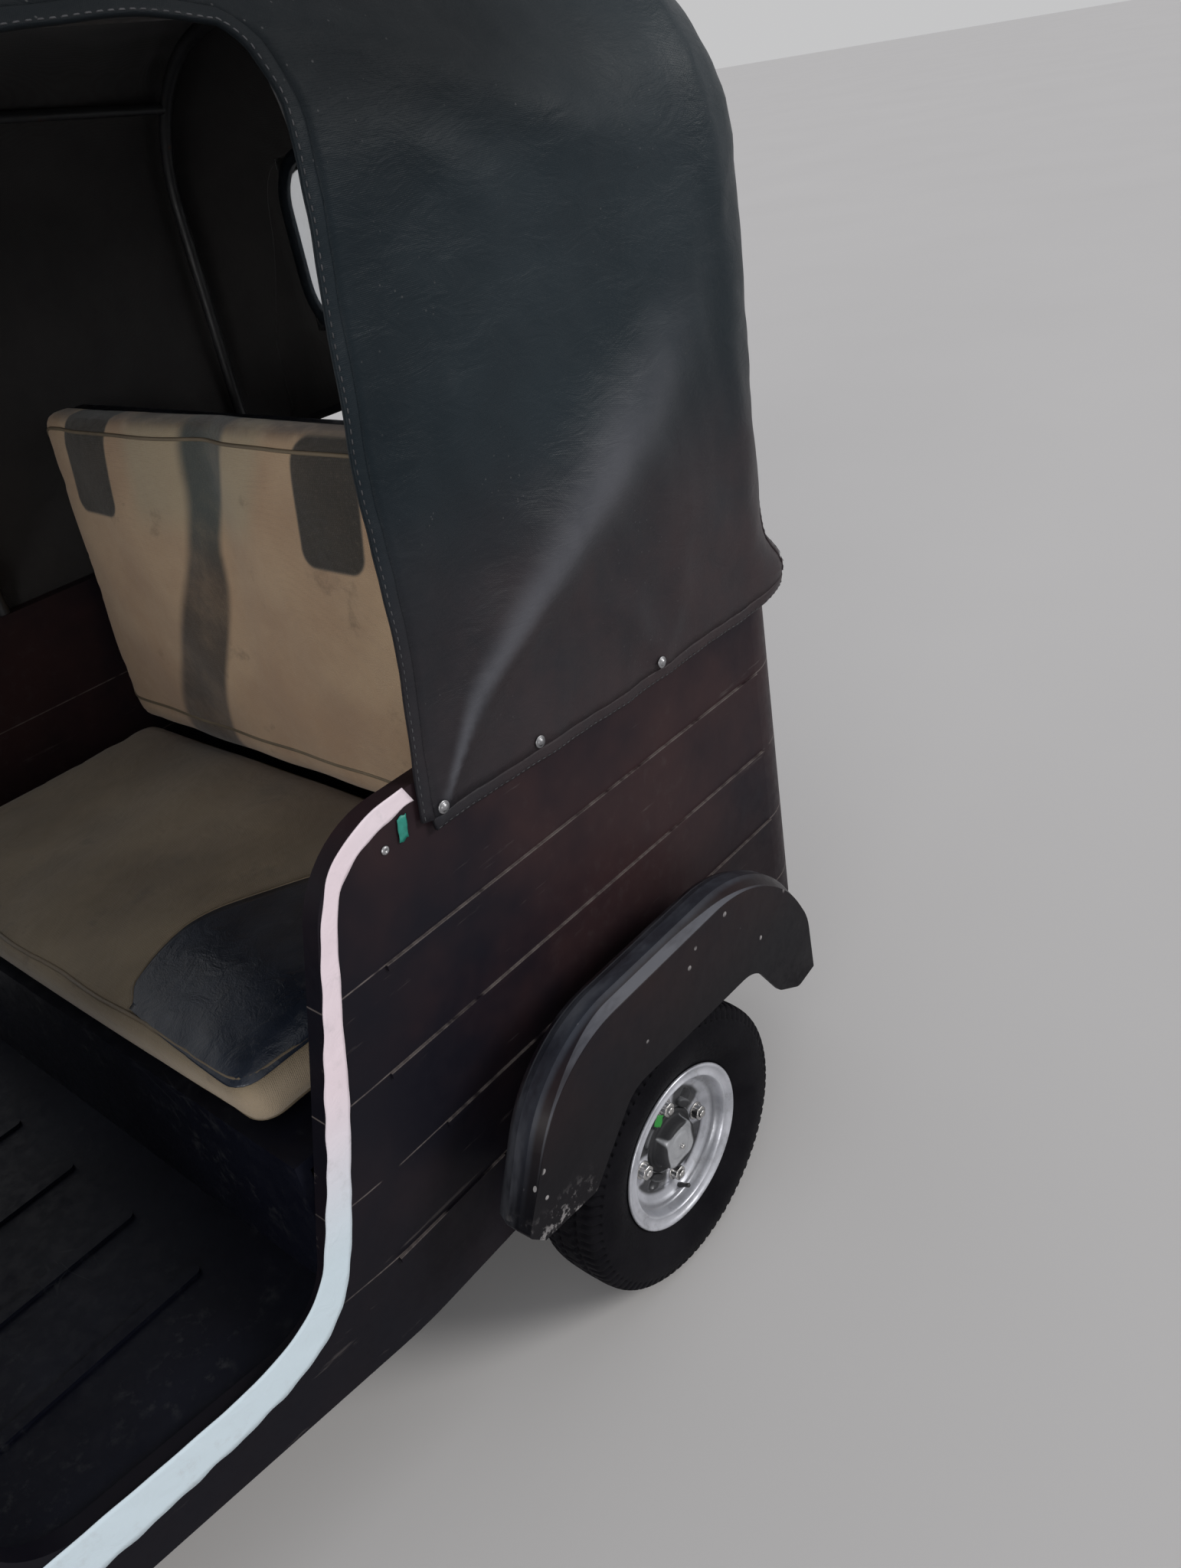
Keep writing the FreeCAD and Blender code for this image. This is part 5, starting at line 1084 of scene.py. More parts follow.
def back_face(x, z, lift=0.0):
    """A spot on the hood's back at x and z, with its loose upright folds."""
    x, z = np.broadcast_arrays(np.asarray(x, float), np.asarray(z, float))
    past = np.clip(np.abs(x) - 0.424, 0, CORNER_R * 0.999)
    y = CORNER_Y + np.sqrt(CORNER_R ** 2 - past ** 2)
    loose = ease(z, 1.50, 1.20) * ease(np.abs(x), 0.47, 0.36)
    wave = 0.0028 * np.sin(24 * x + 3 * np.sin(5 * z)) + 0.0016 * np.sin(61 * x + 7 * z)
    beside, above = np.abs(x) - WINDOW_HALF, np.abs(z - 1.302) - 0.125
    near = ease(np.hypot(np.maximum(beside, 0), np.maximum(above, 0)), 0.0, 0.05)
    return np.stack([x, y + lift - 0.0035 + wave * loose * near, z], -1)


def window_outline():
    line = rounded((-WINDOW_HALF, WINDOW_LOW), (WINDOW_HALF, WINDOW_HIGH), WINDOW_BEND, 12)
    return paced_loop(line, count=129)


THREAD_LONG, THREAD_THICK = 0.0055, 0.0007
# Closed sections of strips, as distance in from an edge and lift: a folded binding, a seam's
# band and the window's frame
BINDING = [
    (0.014, -0.0002), (0.0125, 0.0010), (0.007, 0.0011), (0.0012, 0.0010), (-0.0012, 0.0002),
    (-0.0012, -0.0040), (0.0012, -0.0050), (0.007, -0.0050), (0.0125, -0.0050), (0.014, -0.0038),
]
BAND = [
    (0.014, 0.0004), (0.013, 0.0020), (-0.013, 0.0020), (-0.014, 0.0004), (-0.013, -0.0006),
    (0.013, -0.0006),
]
WINDOW_FRAME = [
    (-0.004, -0.0082), (-0.0035, 0.0016), (0.004, 0.0022), (0.015, 0.0016), (0.016, 0.0002),
    (0.016, -0.0046), (0.015, -0.0095), (-0.0035, -0.0098),
]


def swept_strip(spots, section, closed=False):
    """Points and faces of a strip: spots(distance, lift) gives its whole line of points."""
    points = np.stack([spots(distance, lift) for distance, lift in section], 1)
    rows, columns = points.shape[:2]
    faces = lattice(rows, columns, loop_rows=closed, loop_columns=True)
    if not closed:
        faces += [tuple(range(columns))[::-1],
                  tuple((rows - 1) * columns + k for k in range(columns))]
    return points.reshape(-1, 3), faces


def on_canvas(line, side):
    """Spots along a line of (way, run) on the hood, shifted to one side of it."""
    line = np.asarray(line, float)
    along = np.gradient(line, axis=0)
    along /= np.maximum(np.linalg.norm(along, axis=1, keepdims=True), 1e-9)
    across = np.stack([-along[:, 1], along[:, 0]], 1) * side

    def spots(distance, lift):
        moved = line + across * distance
        return canvas(moved[:, 0], moved[:, 1], lift)
    return spots


def door_line(side):
    """The canvas's free edge round a doorway: from the hem up, then forward, in (way, run)."""
    rows = []
    for z in np.linspace(float(hem_height(0.675)), DOOR_TOP_Z, 60):
        y = float(np.interp(z, DOOR_EDGE[:, 1], DOOR_EDGE[:, 0]))
        rows.append((y, run_at(y, z)))
    rows += zip(roof_ways[-2::-1], roof_edges[-2::-1])
    line = paced(smooth_line(rows, 1), 0.012)
    line[:, 1] *= side
    return line


def hem_line(side):
    """The lower hem, from the doorway back round the corner."""
    ways = np.linspace(*row_ends(2.0), 60)
    return np.stack([ways, side * full_run(np.minimum(ways, HOOD_Y[-1]))], 1)


def seam_line():
    """The rear seam, all the way round from one hem over the top to the other."""
    rows = []
    for level in hood_levels()[::3]:
        end = row_ends(level)[1]
        rows.append((end, float(row_run(level, end))))
    return paced(rows, 0.014)


def stitches(spots, distance, lift, count):
    """A row of short raised threads along a strip's line at a distance and lift."""
    low, high = spots(distance, lift), spots(distance, 0.006)
    forms = []
    total = len(low) - 1
    for k in range(count):
        at = (k + 0.5) / count * total
        i = min(int(at), total - 1)
        foot = low[i] + (low[i + 1] - low[i]) * (at - i)
        out, along = high[i] - low[i], low[i + 1] - low[i]
        out, along = (v / max(np.linalg.norm(v), 1e-9) for v in (out, along))
        across = np.cross(out, along) * THREAD_THICK * 0.8
        ends = []
        for sign, rise in ((-1, 0.0), (-0.55, THREAD_THICK), (0.55, THREAD_THICK), (1, 0.0)):
            spot = foot + along * sign * THREAD_LONG / 2 + out * rise
            ends += [spot + across, spot - across]
        forms.append((ends, [(0, 2, 3, 1), (2, 4, 5, 3), (4, 6, 7, 5), (0, 1, 7, 6), (0, 6, 4, 2),
                             (1, 3, 5, 7)]))
    return join_forms(forms)


def build_back():
    """The back panel: a ring of cloth from the window's edge out to the seam and the hem."""
    outer = []
    for level in hood_levels():
        end = row_ends(level)[1] - 0.016
        spot = bare(end, float(row_run(level, end)))
        if spot[2] > 0.995:
            outer.append((spot[0], spot[2]))
    loop = np.vstack([outer, BACK_HEM])
    middle = np.array((0.0, 1.300))
    inner = window_outline()
    angles = np.arctan2(inner[:, 1] - middle[1], inner[:, 0] - middle[0])
    loop_angles = np.arctan2(loop[:, 1] - middle[1], loop[:, 0] - middle[0])
    reach = np.linalg.norm(loop - middle, axis=1)
    order = np.argsort(loop_angles)
    wide = np.interp(angles, loop_angles[order], reach[order], period=2 * math.pi)
    rim = middle + np.stack([np.cos(angles), np.sin(angles)], 1) * wide[:, None]
    shares = np.linspace(0, 1, 22)[:, None, None]
    spread = inner[None] * (1 - shares) + rim[None] * shares
    points = back_face(spread[..., 0], spread[..., 1]).reshape(-1, 3)
    made = piece("hood_back", [(points, lattice(len(shares), len(inner), loop_columns=True))],
                 "body", "canvas")
    made.data.materials.append(FINISH["lining"])
    modify(made, "SOLIDIFY", thickness=0.004, offset=-1, material_offset=1)
    return made


hood_back = build_back()


def build_hood_trim():
    """Bound edges, seam bands, stitching and the window's frame."""
    forms, threads = [], []
    for side in (1, -1):
        for line, turn in ((door_line(side), -side), (hem_line(side), side)):
            spots = on_canvas(line, turn)
            forms.append(swept_strip(spots, BINDING))
            run = np.linalg.norm(np.diff(spots(0, 0), axis=0), axis=1).sum()
            threads.append(stitches(spots, 0.0115, 0.0010, int(run / 0.009)))
    spots = on_canvas(seam_line(), 1)
    forms.append(swept_strip(spots, [(d - 0.006, l) for d, l in BAND]))
    threads += [stitches(spots, offset, 0.0020, 250) for offset in (-0.014, 0.004)]
    front_band = run_at(HOOPS[1], float(np.interp(HOOPS[1], TOP_EDGE[:, 0], TOP_EDGE[:, 1]))) - 0.004
    for way, edge in ((HOOPS[1], front_band), (HOOPS[2], ROOF_RUN * 0.93)):
        spots = on_canvas(np.stack([np.full(150, way), np.linspace(-edge, edge, 150)], 1), 1)
        forms.append(swept_strip(spots, [(d * 1.3, l * 0.7) for d, l in BAND]))
        threads += [stitches(spots, offset, 0.0014, int(2 * edge / 0.010)) for offset in (-0.015, 0.015)]
    front = np.stack([np.full(90, -0.860), np.linspace(-roof_edges[0], roof_edges[0], 90)], 1)
    forms.append(swept_strip(on_canvas(front, -1), BINDING))
    hem = paced(BACK_HEM, 0.012)

    def back_spots(distance, lift):
        return back_face(hem[:, 0], hem[:, 1] + distance, lift)
    forms.append(swept_strip(back_spots, BINDING))
    threads.append(stitches(back_spots, 0.016, 0.0016, 110))
    trim = piece("hood_bindings", forms, "body", "canvas")
    # The window's frame, stitched round the film
    inner = window_outline()
    normal = inner - np.roll(inner, 1, 0)
    normal = np.stack([normal[:, 1], -normal[:, 0]], 1)
    normal /= np.linalg.norm(normal, axis=1, keepdims=True)

    def frame_spots(distance, lift):
        spot = inner + normal * distance
        return back_face(spot[:, 0], spot[:, 1], lift)
    edging = swept_strip(frame_spots, WINDOW_FRAME, closed=True)
    edging = piece("window_frame", [edging], "body", "canvas", "binding")
    threads.append(stitches(frame_spots, 0.013, 0.0022, 150))
    sewing = piece("hood_stitching", threads, "body", "canvas", "thread")
    return trim, edging, sewing


hood_trim, window_frame, hood_sewing = build_hood_trim()


# Press studs and screws

def build_studs():
    """Domed press studs in flared rings, along the side hems and the back's hem."""
    stud = knob([(0.0, 0.0), (0.0, 0.0075), (0.0010, 0.00765), (0.0018, 0.0069), (0.0016, 0.0054),
                 (0.0024, 0.00465), (0.0038, 0.0033), (0.0044, 0.00165), (0.0046, 0.0)], 24)
    forms = []
    for side in (1, -1):
        for way, height in ((0.689, 0.852), (0.845, 0.846), (1.072, 0.839)):
            run = side * run_at(way, height)
            spot = canvas(way, run, 0.0014)
            forms.append(stand(stud, spot, canvas(way, run, 0.02) - spot))
    for x in (-0.30, 0.0, 0.30):
        forms.append(stand(stud, back_face(x, 1.083 - abs(x) * 0.05, 0.001), (0, 1, 0)))
    piece("press_studs", forms, "body", "steel")


def build_screws():
    """Dimpled screw heads at the side panels' upper corners, on the posts and on the rear panel."""
    screw = knob([(0.0, 0.0), (0.0, 0.0052), (0.0008, 0.0052), (0.0022, 0.0040), (0.0026, 0.0016),
                  (0.0016, 0.0012), (0.0016, 0.0)], 20)
    spots = ((0.5252, 0.613, 0.841), (0.470, -0.03, 0.40), (0.470, -0.03, 0.62), (0.470, -0.03, 0.80))
    forms = [stand(screw, (side * x, y, z), (side, 0, 0)) for side in (1, -1) for x, y, z in spots]
    forms += [stand(screw, (x, REAR_FACE_Y, 0.815), (0, 1, 0)) for x in (-0.40, -0.2, 0.0, 0.2, 0.40)]
    piece("panel_screws", forms, "body", "steel")


build_studs()


# Cushions

CLOTH_FRAMES = 16


def cushion_form(low, high, crown, cells):
    """A padded box: its edges rounded, its faces crowned in X, Y and Z by so much."""
    half = (np.array(high) - np.array(low)) / 2
    counts = np.maximum((2 * half / cells).astype(int), 4)
    forms = []
    for axis in range(3):
        for sign in (-1, 1):
            a, b = [k for k in range(3) if k != axis]
            grid = np.zeros((counts[a] + 1, counts[b] + 1, 3))
            grid[..., a] = np.linspace(-1, 1, counts[a] + 1)[:, None]
            grid[..., b] = np.linspace(-1, 1, counts[b] + 1)[None, :]
            grid[..., axis] = sign
            faces = lattice(*grid.shape[:2])
            if (sign > 0) != (axis == 1):
                faces = [f[::-1] for f in faces]
            forms.append((grid.reshape(-1, 3), faces))
    points, faces = join_forms(forms)
    world = np.array(points, float) * half
    round_off = np.array([0.030, 0.030, 0.024])
    inner = np.maximum(half - round_off, 0.001)
    core = np.clip(world, -inner, inner)
    away = world - core
    reach = np.linalg.norm(away / round_off, axis=1, keepdims=True)
    world = core + np.where(reach > 1e-6, away / np.maximum(reach, 1e-6), away)
    share = world / half
    for axis in range(3):
        a, b = [k for k in range(3) if k != axis]
        swell = (1 - np.clip(np.abs(share[:, a]), 0, 1) ** 2.4) * \
            (1 - np.clip(np.abs(share[:, b]), 0, 1) ** 2.4)
        world[:, axis] += np.sign(share[:, axis]) * crown[axis] * (swell - 1) * \
            np.abs(share[:, axis]) ** 3
    return world + (np.array(high) + np.array(low)) / 2, faces


def stuffed(name, node, form, cap, finish, shape=None):
    """A cushion in a node's place: its cover is blown out a little, at most by cap, then shaped."""
    made = piece(name, [form], "body", "seat_fabric", finish)
    bpy.context.view_layer.objects.active = made
    modify(made, "WELD", merge_threshold=0.0005)
    modify(made, "REMESH", mode="VOXEL", voxel_size=0.007)
    settle(made)
    rest = points_of(made)
    modify(made, "CLOTH")
    cloth = made.modifiers["Cloth"]
    for setting, value in (
        ("quality", 4), ("mass", 0.3), ("tension_stiffness", 12), ("compression_stiffness", 12),
        ("shear_stiffness", 5), ("bending_stiffness", 0.6), ("use_pressure", True),
        ("uniform_pressure_force", 4),
    ):
        setattr(cloth.settings, setting, value)
    cloth.settings.effector_weights.gravity = 0
    cloth.collision_settings.use_collision = False
    cloth.point_cache.frame_start, cloth.point_cache.frame_end = 1, CLOTH_FRAMES
    for step in range(1, CLOTH_FRAMES + 1):
        bpy.context.scene.frame_set(step)
    settle(made)
    bpy.context.scene.frame_set(1)
    gone = points_of(made) - rest
    far = np.linalg.norm(gone, axis=1, keepdims=True)
    held = rest + gone * np.minimum(1, cap / np.maximum(far, 1e-9))
    made.data.vertices.foreach_set("co", held.ravel())
    made.data.shade_smooth()
    if shape:
        made.data.vertices.foreach_set("co", shape(points_of(made)).ravel())
        made.data.update()
    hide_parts(node)
    return made


def settle(made):
    """Applies a piece's modifiers to its mesh."""
    graph = bpy.context.evaluated_depsgraph_get()
    done = bpy.data.meshes.new_from_object(made.evaluated_get(graph))
    old = made.data
    made.modifiers.clear()
    made.data = done
    bpy.data.meshes.remove(old)


def tree_of(made):
    return BVHTree.FromObject(made, bpy.context.evaluated_depsgraph_get())


def laid_on(tree, spots, directions, lift, far=0.2):
    """Spots dropped along one direction, or one each, on to a surface, and lifted off it."""
    laid = []
    for spot, way in zip(spots, np.broadcast_to(directions, np.shape(spots))):
        way = Vector(way).normalized()
        hit = tree.ray_cast(Vector(spot), way, far)[0]
        if hit is None:
            hit = tree.find_nearest(Vector(spot))[0]
        laid.append(hit - way * lift)
    return np.array([tuple(p) for p in laid])


def cord_along(line, radius, sides=8, closed=False):
    """A round cord, such as piping, along a line of points."""
    line = np.asarray(line, float)
    count = len(line)
    along = np.roll(line, -1, 0) - np.roll(line, 1, 0) if closed else np.gradient(line, axis=0)
    along /= np.maximum(np.linalg.norm(along, axis=1, keepdims=True), 1e-9)
    steady = np.tile(np.array([[0.31, 0.22, 0.92]]), (count, 1))
    across = np.cross(along, steady)
    across /= np.maximum(np.linalg.norm(across, axis=1, keepdims=True), 1e-9)
    other = np.cross(along, across)
    turns = 2 * math.pi * np.arange(sides) / sides
    rings = line[:, None] + radius * (np.cos(turns)[None, :, None] * across[:, None] +
                                      np.sin(turns)[None, :, None] * other[:, None])
    faces = lattice(count, sides, loop_rows=closed, loop_columns=True)
    if not closed:
        faces += [tuple(range(sides))[::-1], tuple((count - 1) * sides + k for k in range(sides))]
    return rings.reshape(-1, 3), faces


BENCH_LOW, BENCH_HIGH = (-0.450, 0.401, 0.550), (0.450, 0.886, 0.658)
BACK_LOW, BACK_HIGH = (-0.490, 0.868, 0.634), (0.490, 0.964, 1.168)


def bench_shape(points):
    """The bench cushion's own slumps: a drooping front edge and sat-in hollows."""
    p = points.copy()
    front, top = ease(p[:, 1], 0.56, 0.41), ease(p[:, 2], 0.60, 0.66)
    p[:, 2] -= front * top * 0.012
    for x in (-0.24, 0.20):
        hollow = np.exp(-((p[:, 0] - x) / 0.17) ** 2 - ((p[:, 1] - 0.62) / 0.16) ** 2)
        p[:, 2] -= hollow * top * 0.009
    low_front = front * ease(p[:, 2], 0.62, 0.56)
    p[:, 1] += low_front * 0.010
    p[:, 2] += 0.0014 * np.sin(31 * p[:, 0] + 8 * p[:, 1]) * top
    return p


def back_lean(points):
    """The backrest's lean, its two lobes and the groove between them."""
    p = points.copy()
    rise = ease(p[:, 2], 0.70, 1.16)
    front = ease(p[:, 1], 0.955, 0.90)
    p[:, 1] += rise * front * 0.022
    for x in (-0.27, 0.17):
        lobe = np.exp(-((p[:, 0] - x) / 0.17) ** 4 - ((p[:, 2] - 1.00) / 0.20) ** 4)
        p[:, 1] -= front * lobe * 0.010
    groove = np.exp(-((p[:, 0] + 0.05) / 0.040) ** 2) * ease(p[:, 2], 0.80, 0.95)
    p[:, 1] += front * groove * 0.008
    p[:, 1] += front * 0.0012 * np.sin(37 * p[:, 0] + 21 * p[:, 2])
    return p


def piping(tree, low, high, middle, lean, radius, height=None, step=0.012):
    """Piping round a cushion at a height, dropped on to its sides towards the middle."""
    line = rounded((low[0] - 0.02, low[1] - 0.02), (high[0] + 0.02, high[1] + 0.02), 0.03, first=2)
    line = np.insert(paced_loop(line, step), 2, height or middle[2], axis=1)
    inward = np.array(middle) - line
    inward[:, 0] *= lean
    laid = laid_on(tree, line, inward, -0.0005)
    return cord_along(smooth_line(laid, 1, closed=True), radius, closed=True)


def build_bench():
    """The bench's two cushions and the piping round their covers."""
    base = stuffed("bench_seat", "bench_cushion",
                   cushion_form(BENCH_LOW, BENCH_HIGH, (0.006, 0.008, 0.012), 0.012), 0.006,
                   "seat_fabric", bench_shape)
    back = stuffed("bench_back", "bench_backrest",
                   cushion_form(BACK_LOW, BACK_HIGH, (0.004, 0.012, 0.006), 0.012), 0.006,
                   "back_fabric", back_lean)
    tree = tree_of(base)
    forms = [
        piping(tree, BENCH_LOW, BENCH_HIGH, (0.0, 0.64, 0.632), 0.3, 0.0030),
        piping(tree, BENCH_LOW, BENCH_HIGH, (0.0, 0.64, 0.572), 0.3, 0.0024, 0.570),
    ]
    line = paced_loop(rounded((-0.478, 0.69), (0.478, 1.140), 0.03, first=2), 0.012)
    laid = laid_on(tree_of(back), np.insert(line, 1, 0.80, axis=1), (0, 1, 0), -0.0005, 0.3)
    forms.append(cord_along(smooth_line(laid, 1, closed=True), 0.0028, closed=True))
    piece("bench_piping", forms, "body", "seat_fabric", "piping")
    return base


# The vinyl corner: inner edge on the seat's top, outer edge over its front and its end
CORNER_INNER = [
    (0.206, 0.398, 0.652), (0.186, 0.440, 0.66), (0.164, 0.500, 0.66), (0.157, 0.572, 0.66),
    (0.188, 0.640, 0.66), (0.240, 0.714, 0.66), (0.315, 0.770, 0.66), (0.448, 0.790, 0.66),
]
CORNER_OUTER = [
    (0.206, 0.40, 0.646), (0.260, 0.40, 0.640), (0.330, 0.40, 0.637), (0.385, 0.40, 0.634),
    (0.450, 0.40, 0.632), (0.450, 0.50, 0.632), (0.450, 0.64, 0.636), (0.450, 0.790, 0.642),
]


def build_vinyl_corner(base):
    """The patch over the seat's worn corner, laid on its cover, with piping round it."""
    rows, columns = 34, 60
    inner = paced(smooth_line(CORNER_INNER, 2), count=columns)
    outer = paced(smooth_line(CORNER_OUTER, 2), count=columns)
    rim = outer * (1, 1, 0) + (0, 0, 0.652)
    grid = []
    # The way out from the inner edge runs over the top's rim, then down
    for share in np.linspace(0, 1, rows):
        if share < 0.7:
            grid.append(inner + (rim - inner) * (share / 0.7))
        else:
            grid.append(rim + (outer - rim) * ((share - 0.7) / 0.3))
    grid = np.array(grid).reshape(-1, 3)
    aim = np.array((0.30, 0.56, 0.585)) - grid
    aim[:, 0] *= ease(grid[:, 0], 0.36, 0.452) * 0.9 + 0.02
    aim[:, 1] *= ease(grid[:, 1], 0.46, 0.399) * 0.9 + 0.02
    starts = grid - aim / np.linalg.norm(aim, axis=1, keepdims=True) * 0.05
    laid = laid_on(tree_of(base), starts, aim, 0.0016)
    made = piece("vinyl_corner", [(laid, lattice(rows, columns))], "body", "seat_fabric", "vinyl")
    modify(made, "SOLIDIFY", thickness=0.0022, offset=0)
    laid = laid.reshape(rows, columns, 3)
    edge = np.vstack([laid[::-1, 0], laid[0], laid[:, -1]])
    piece("vinyl_corner_piping", [cord_along(paced(edge, 0.008), 0.0021)], "body", "seat_fabric",
          "piping")


def build_driver_seat():
    low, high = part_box("driver_cushion")
    gap = Vector((0.002, 0.002, 0.001))
    base = stuffed("driver_seat", "driver_cushion",
                   cushion_form(low + gap, high - gap, (0.005, 0.006, 0.012), 0.012), 0.005,
                   "driver_vinyl")
    back_low, back_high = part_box("driver_backrest")
    gap = Vector((0.002, 0.001, 0.002))
    stuffed("driver_back", "driver_backrest",
            cushion_form(back_low + gap, back_high - gap, (0.004, 0.008, 0.006), 0.010), 0.004,
            "driver_vinyl")
    middle = (0.0, (low.y + high.y) / 2, high.z - 0.022)
    cord = piping(tree_of(base), low, high, middle, 0.5, 0.0028, step=0.01)
    piece("driver_piping", [cord], "body", "seat_fabric", "piping")


build_vinyl_corner(build_bench())
build_driver_seat()


# Tape along the sills and door edges, and a green tag

# The door's cut edge and sill: along the vehicle from the rear axle, height; then the outer edge
TAPE_INNER = [
    (-226, 893), (-272, 891), (-310, 877), (-336, 862), (-352, 832), (-366, 801), (-384, 744),
    (-402, 690), (-421, 624), (-440, 559), (-459, 501), (-479, 443), (-498, 404), (-529, 376),
    (-574, 356), (-640, 348), (-800, 346), (-1000, 345), (-1150, 345), (-1290, 345), (-1372, 352),
]
TAPE_OUTER = [
    (-216, 872), (-259, 869), (-303, 854), (-322, 842), (-338, 820), (-352, 778), (-362, 737),
    (-375, 693), (-391, 622), (-408, 564), (-426, 505), (-444, 443), (-462, 395), (-487, 350),
    (-524, 321), (-573, 303), (-640, 293), (-800, 283), (-1000, 278), (-1150, 277), (-1290, 279),
    (-1364, 288),
]


def tape_form(side):
    """The white tape's slack edges, laid over the panel's outer face."""
    rows, columns = 9, 230
    inner = paced(smooth_line(TAPE_INNER, 2), count=columns)
    outer = paced(smooth_line(TAPE_OUTER, 2), count=columns)
    grid = np.array([inner + (outer - inner) * share for share in np.linspace(0, 1, rows)])
    run = np.arange(columns)
    grid[-1, :, 1] += 1.6 * np.sin(run * 0.9) * np.sin(run * 0.23 + 1)
    grid[0, :, 0] += 1.2 * np.sin(run * 0.55 + 2) * np.sin(run * 0.31)
    points = []
    for j in range(rows):
        for i in range(columns):
            along, up = grid[j, i]
            puff = 0.5 + 0.35 * math.sin(i * 0.61 + j * 0.5) * math.sin(i * 0.173)
            # The side stands 525 mm out, and closes in from 400 mm ahead of the rear axle
            face = 525 - 0.1158 * max(-along - 400, 0)
            points.append((side * (face + 0.7 + puff) / 1000, along / 1000 + REAR_AXLE_Y, up / 1000))
    faces = lattice(rows, columns)
    return points, faces if side > 0 else [f[::-1] for f in faces]


def mark_form(spot, across, up, lift=0.0012):
    """A small torn tag of tape on a flat face: its centre, its two half sides."""
    steps = 6
    across, up = np.array(across), np.array(up)
    out = np.cross(across, up)
    out /= np.linalg.norm(out)
    points = []
    for j in range(steps + 1):
        for i in range(steps + 1):
            u, v = 2 * i / steps - 1, 2 * j / steps - 1
            u *= 1 + 0.06 * math.sin(5 * v + 1)
            v *= 1 + 0.08 * math.sin(4 * u + 2)
            rise = lift + 0.0005 * math.sin(3 * u) * math.sin(2 * v)
            points.append(np.array(spot) + across * u + up * v + out * rise)
    return points, lattice(steps + 1, steps + 1)


def taped(name, form, body, slot, finish):
    made = piece(name, [form], body, slot, finish)
    modify(made, "SOLIDIFY", thickness=0.0008, offset=-1)


taped("sill_tape_left", tape_form(1), "body", "body_paint", "tape")
taped("sill_tape_right", tape_form(-1), "body", "body_paint", "tape")
taped("green_mark", mark_form((0.5262, 0.640, 0.852), (0, 0.0062, 0.0005), (0, 0.0022, 0.0135)),
      "body", "body_paint", "green")
build_screws()


# Wheels

# Half of the tyre's section, from its bead to the middle of the tread: across, radius
TYRE_HALF = [
    (33.0, 107.0), (34.4, 112.0), (35.2, 117.0), (37.2, 121.5), (38.4, 123.2), (39.2, 125.0),
    (41.6, 129.0), (45.2, 136.0), (48.6, 144.0), (51.2, 152.0), (52.6, 160.0), (52.7, 168.0),
    (51.8, 176.0), (50.4, 183.0), (49.8, 186.5), (49.4, 188.0), (48.3, 191.0), (47.2, 194.5),
    (45.6, 198.2), (43.2, 200.7), (40.4, 202.0), (37.2, 202.8), (33.8, 203.4), (30.4, 203.9),
    (27.0, 204.2), (24.4, 204.4), (21.8, 204.5), (19.2, 204.6), (16.6, 204.7), (14.0, 204.8),
    (11.2, 204.9), (8.6, 204.9), (5.8, 205.0), (3.0, 205.0), (0.0, 205.0),
]
TYRE_TEETH = 86
STEPS_TO_A_TOOTH = 6
# The tread's two zigzag grooves: their middles across the tyre, and their half width and swing
GROOVES = (-15.5, 15.5)
GROOVE_HALF, GROOVE_SWING, GROOVE_DEPTH = 2.9, 1.43, 5.0
# Radii on which the wheel's studs and the disc's four openings stand
STUD_CIRCLE, OPENING_CIRCLE = 62, 63
# The rim's section, outboard face first and then back along its barrel: across, radius
RIM_RING = [
    (37.0, 119.0), (38.6, 120.1), (40.8, 119.6), (41.7, 117.8), (41.2, 115.6), (39.2, 113.8),
    (37.4, 111.4), (36.6, 108.4), (36.9, 105.8), (38.4, 104.0), (38.9, 102.6), (38.2, 101.3),
    (35.4, 100.2), (30.6, 99.0), (25.6, 98.0), (23.4, 96.4), (22.6, 94.2), (22.8, 92.4), (21.8, 90.8),
    (19.4, 88.8), (17.6, 86.0), (16.0, 82.4), (14.4, 79.2), (13.6, 76.2), (13.9, 73.6), (15.0, 71.8),
    (15.4, 69.0), (15.2, 62.0), (15.2, 54.0), (15.0, 46.0), (11.0, 46.0), (6.0, 84.0), (-16.0, 84.0),
    (-23.0, 97.0), (-40.0, 101.0), (-41.0, 119.0), (-37.0, 119.0), (-35.0, 104.0), (-20.0, 101.0),
    (-13.0, 88.0), (13.0, 88.0), (20.0, 101.0), (35.0, 104.0),
]
# The hub cap's profile: across, radius
HUB_CAP = [
    (5.7, 50.0), (9.0, 49.5), (16.2, 46.2), (17.4, 44.6), (17.6, 42.4), (16.8, 40.4), (16.9, 37.6),
    (20.0, 36.2), (27.0, 35.2), (32.6, 34.6), (34.4, 33.2), (34.9, 30.4), (34.2, 27.6), (33.0, 25.6),
    (33.2, 22.0), (35.0, 19.4), (35.9, 15.0), (36.3, 9.0), (36.5, 4.0), (36.5, 0.0),
]


def outboard(form, centre, side):
    """A form from a wheel's own frame, outboard along +X and in mm, to the vehicle's in metres."""
    points, faces = form
    p = np.array(points, float) / 1000
    p[:, :2] *= side
    return p + np.array(centre), faces


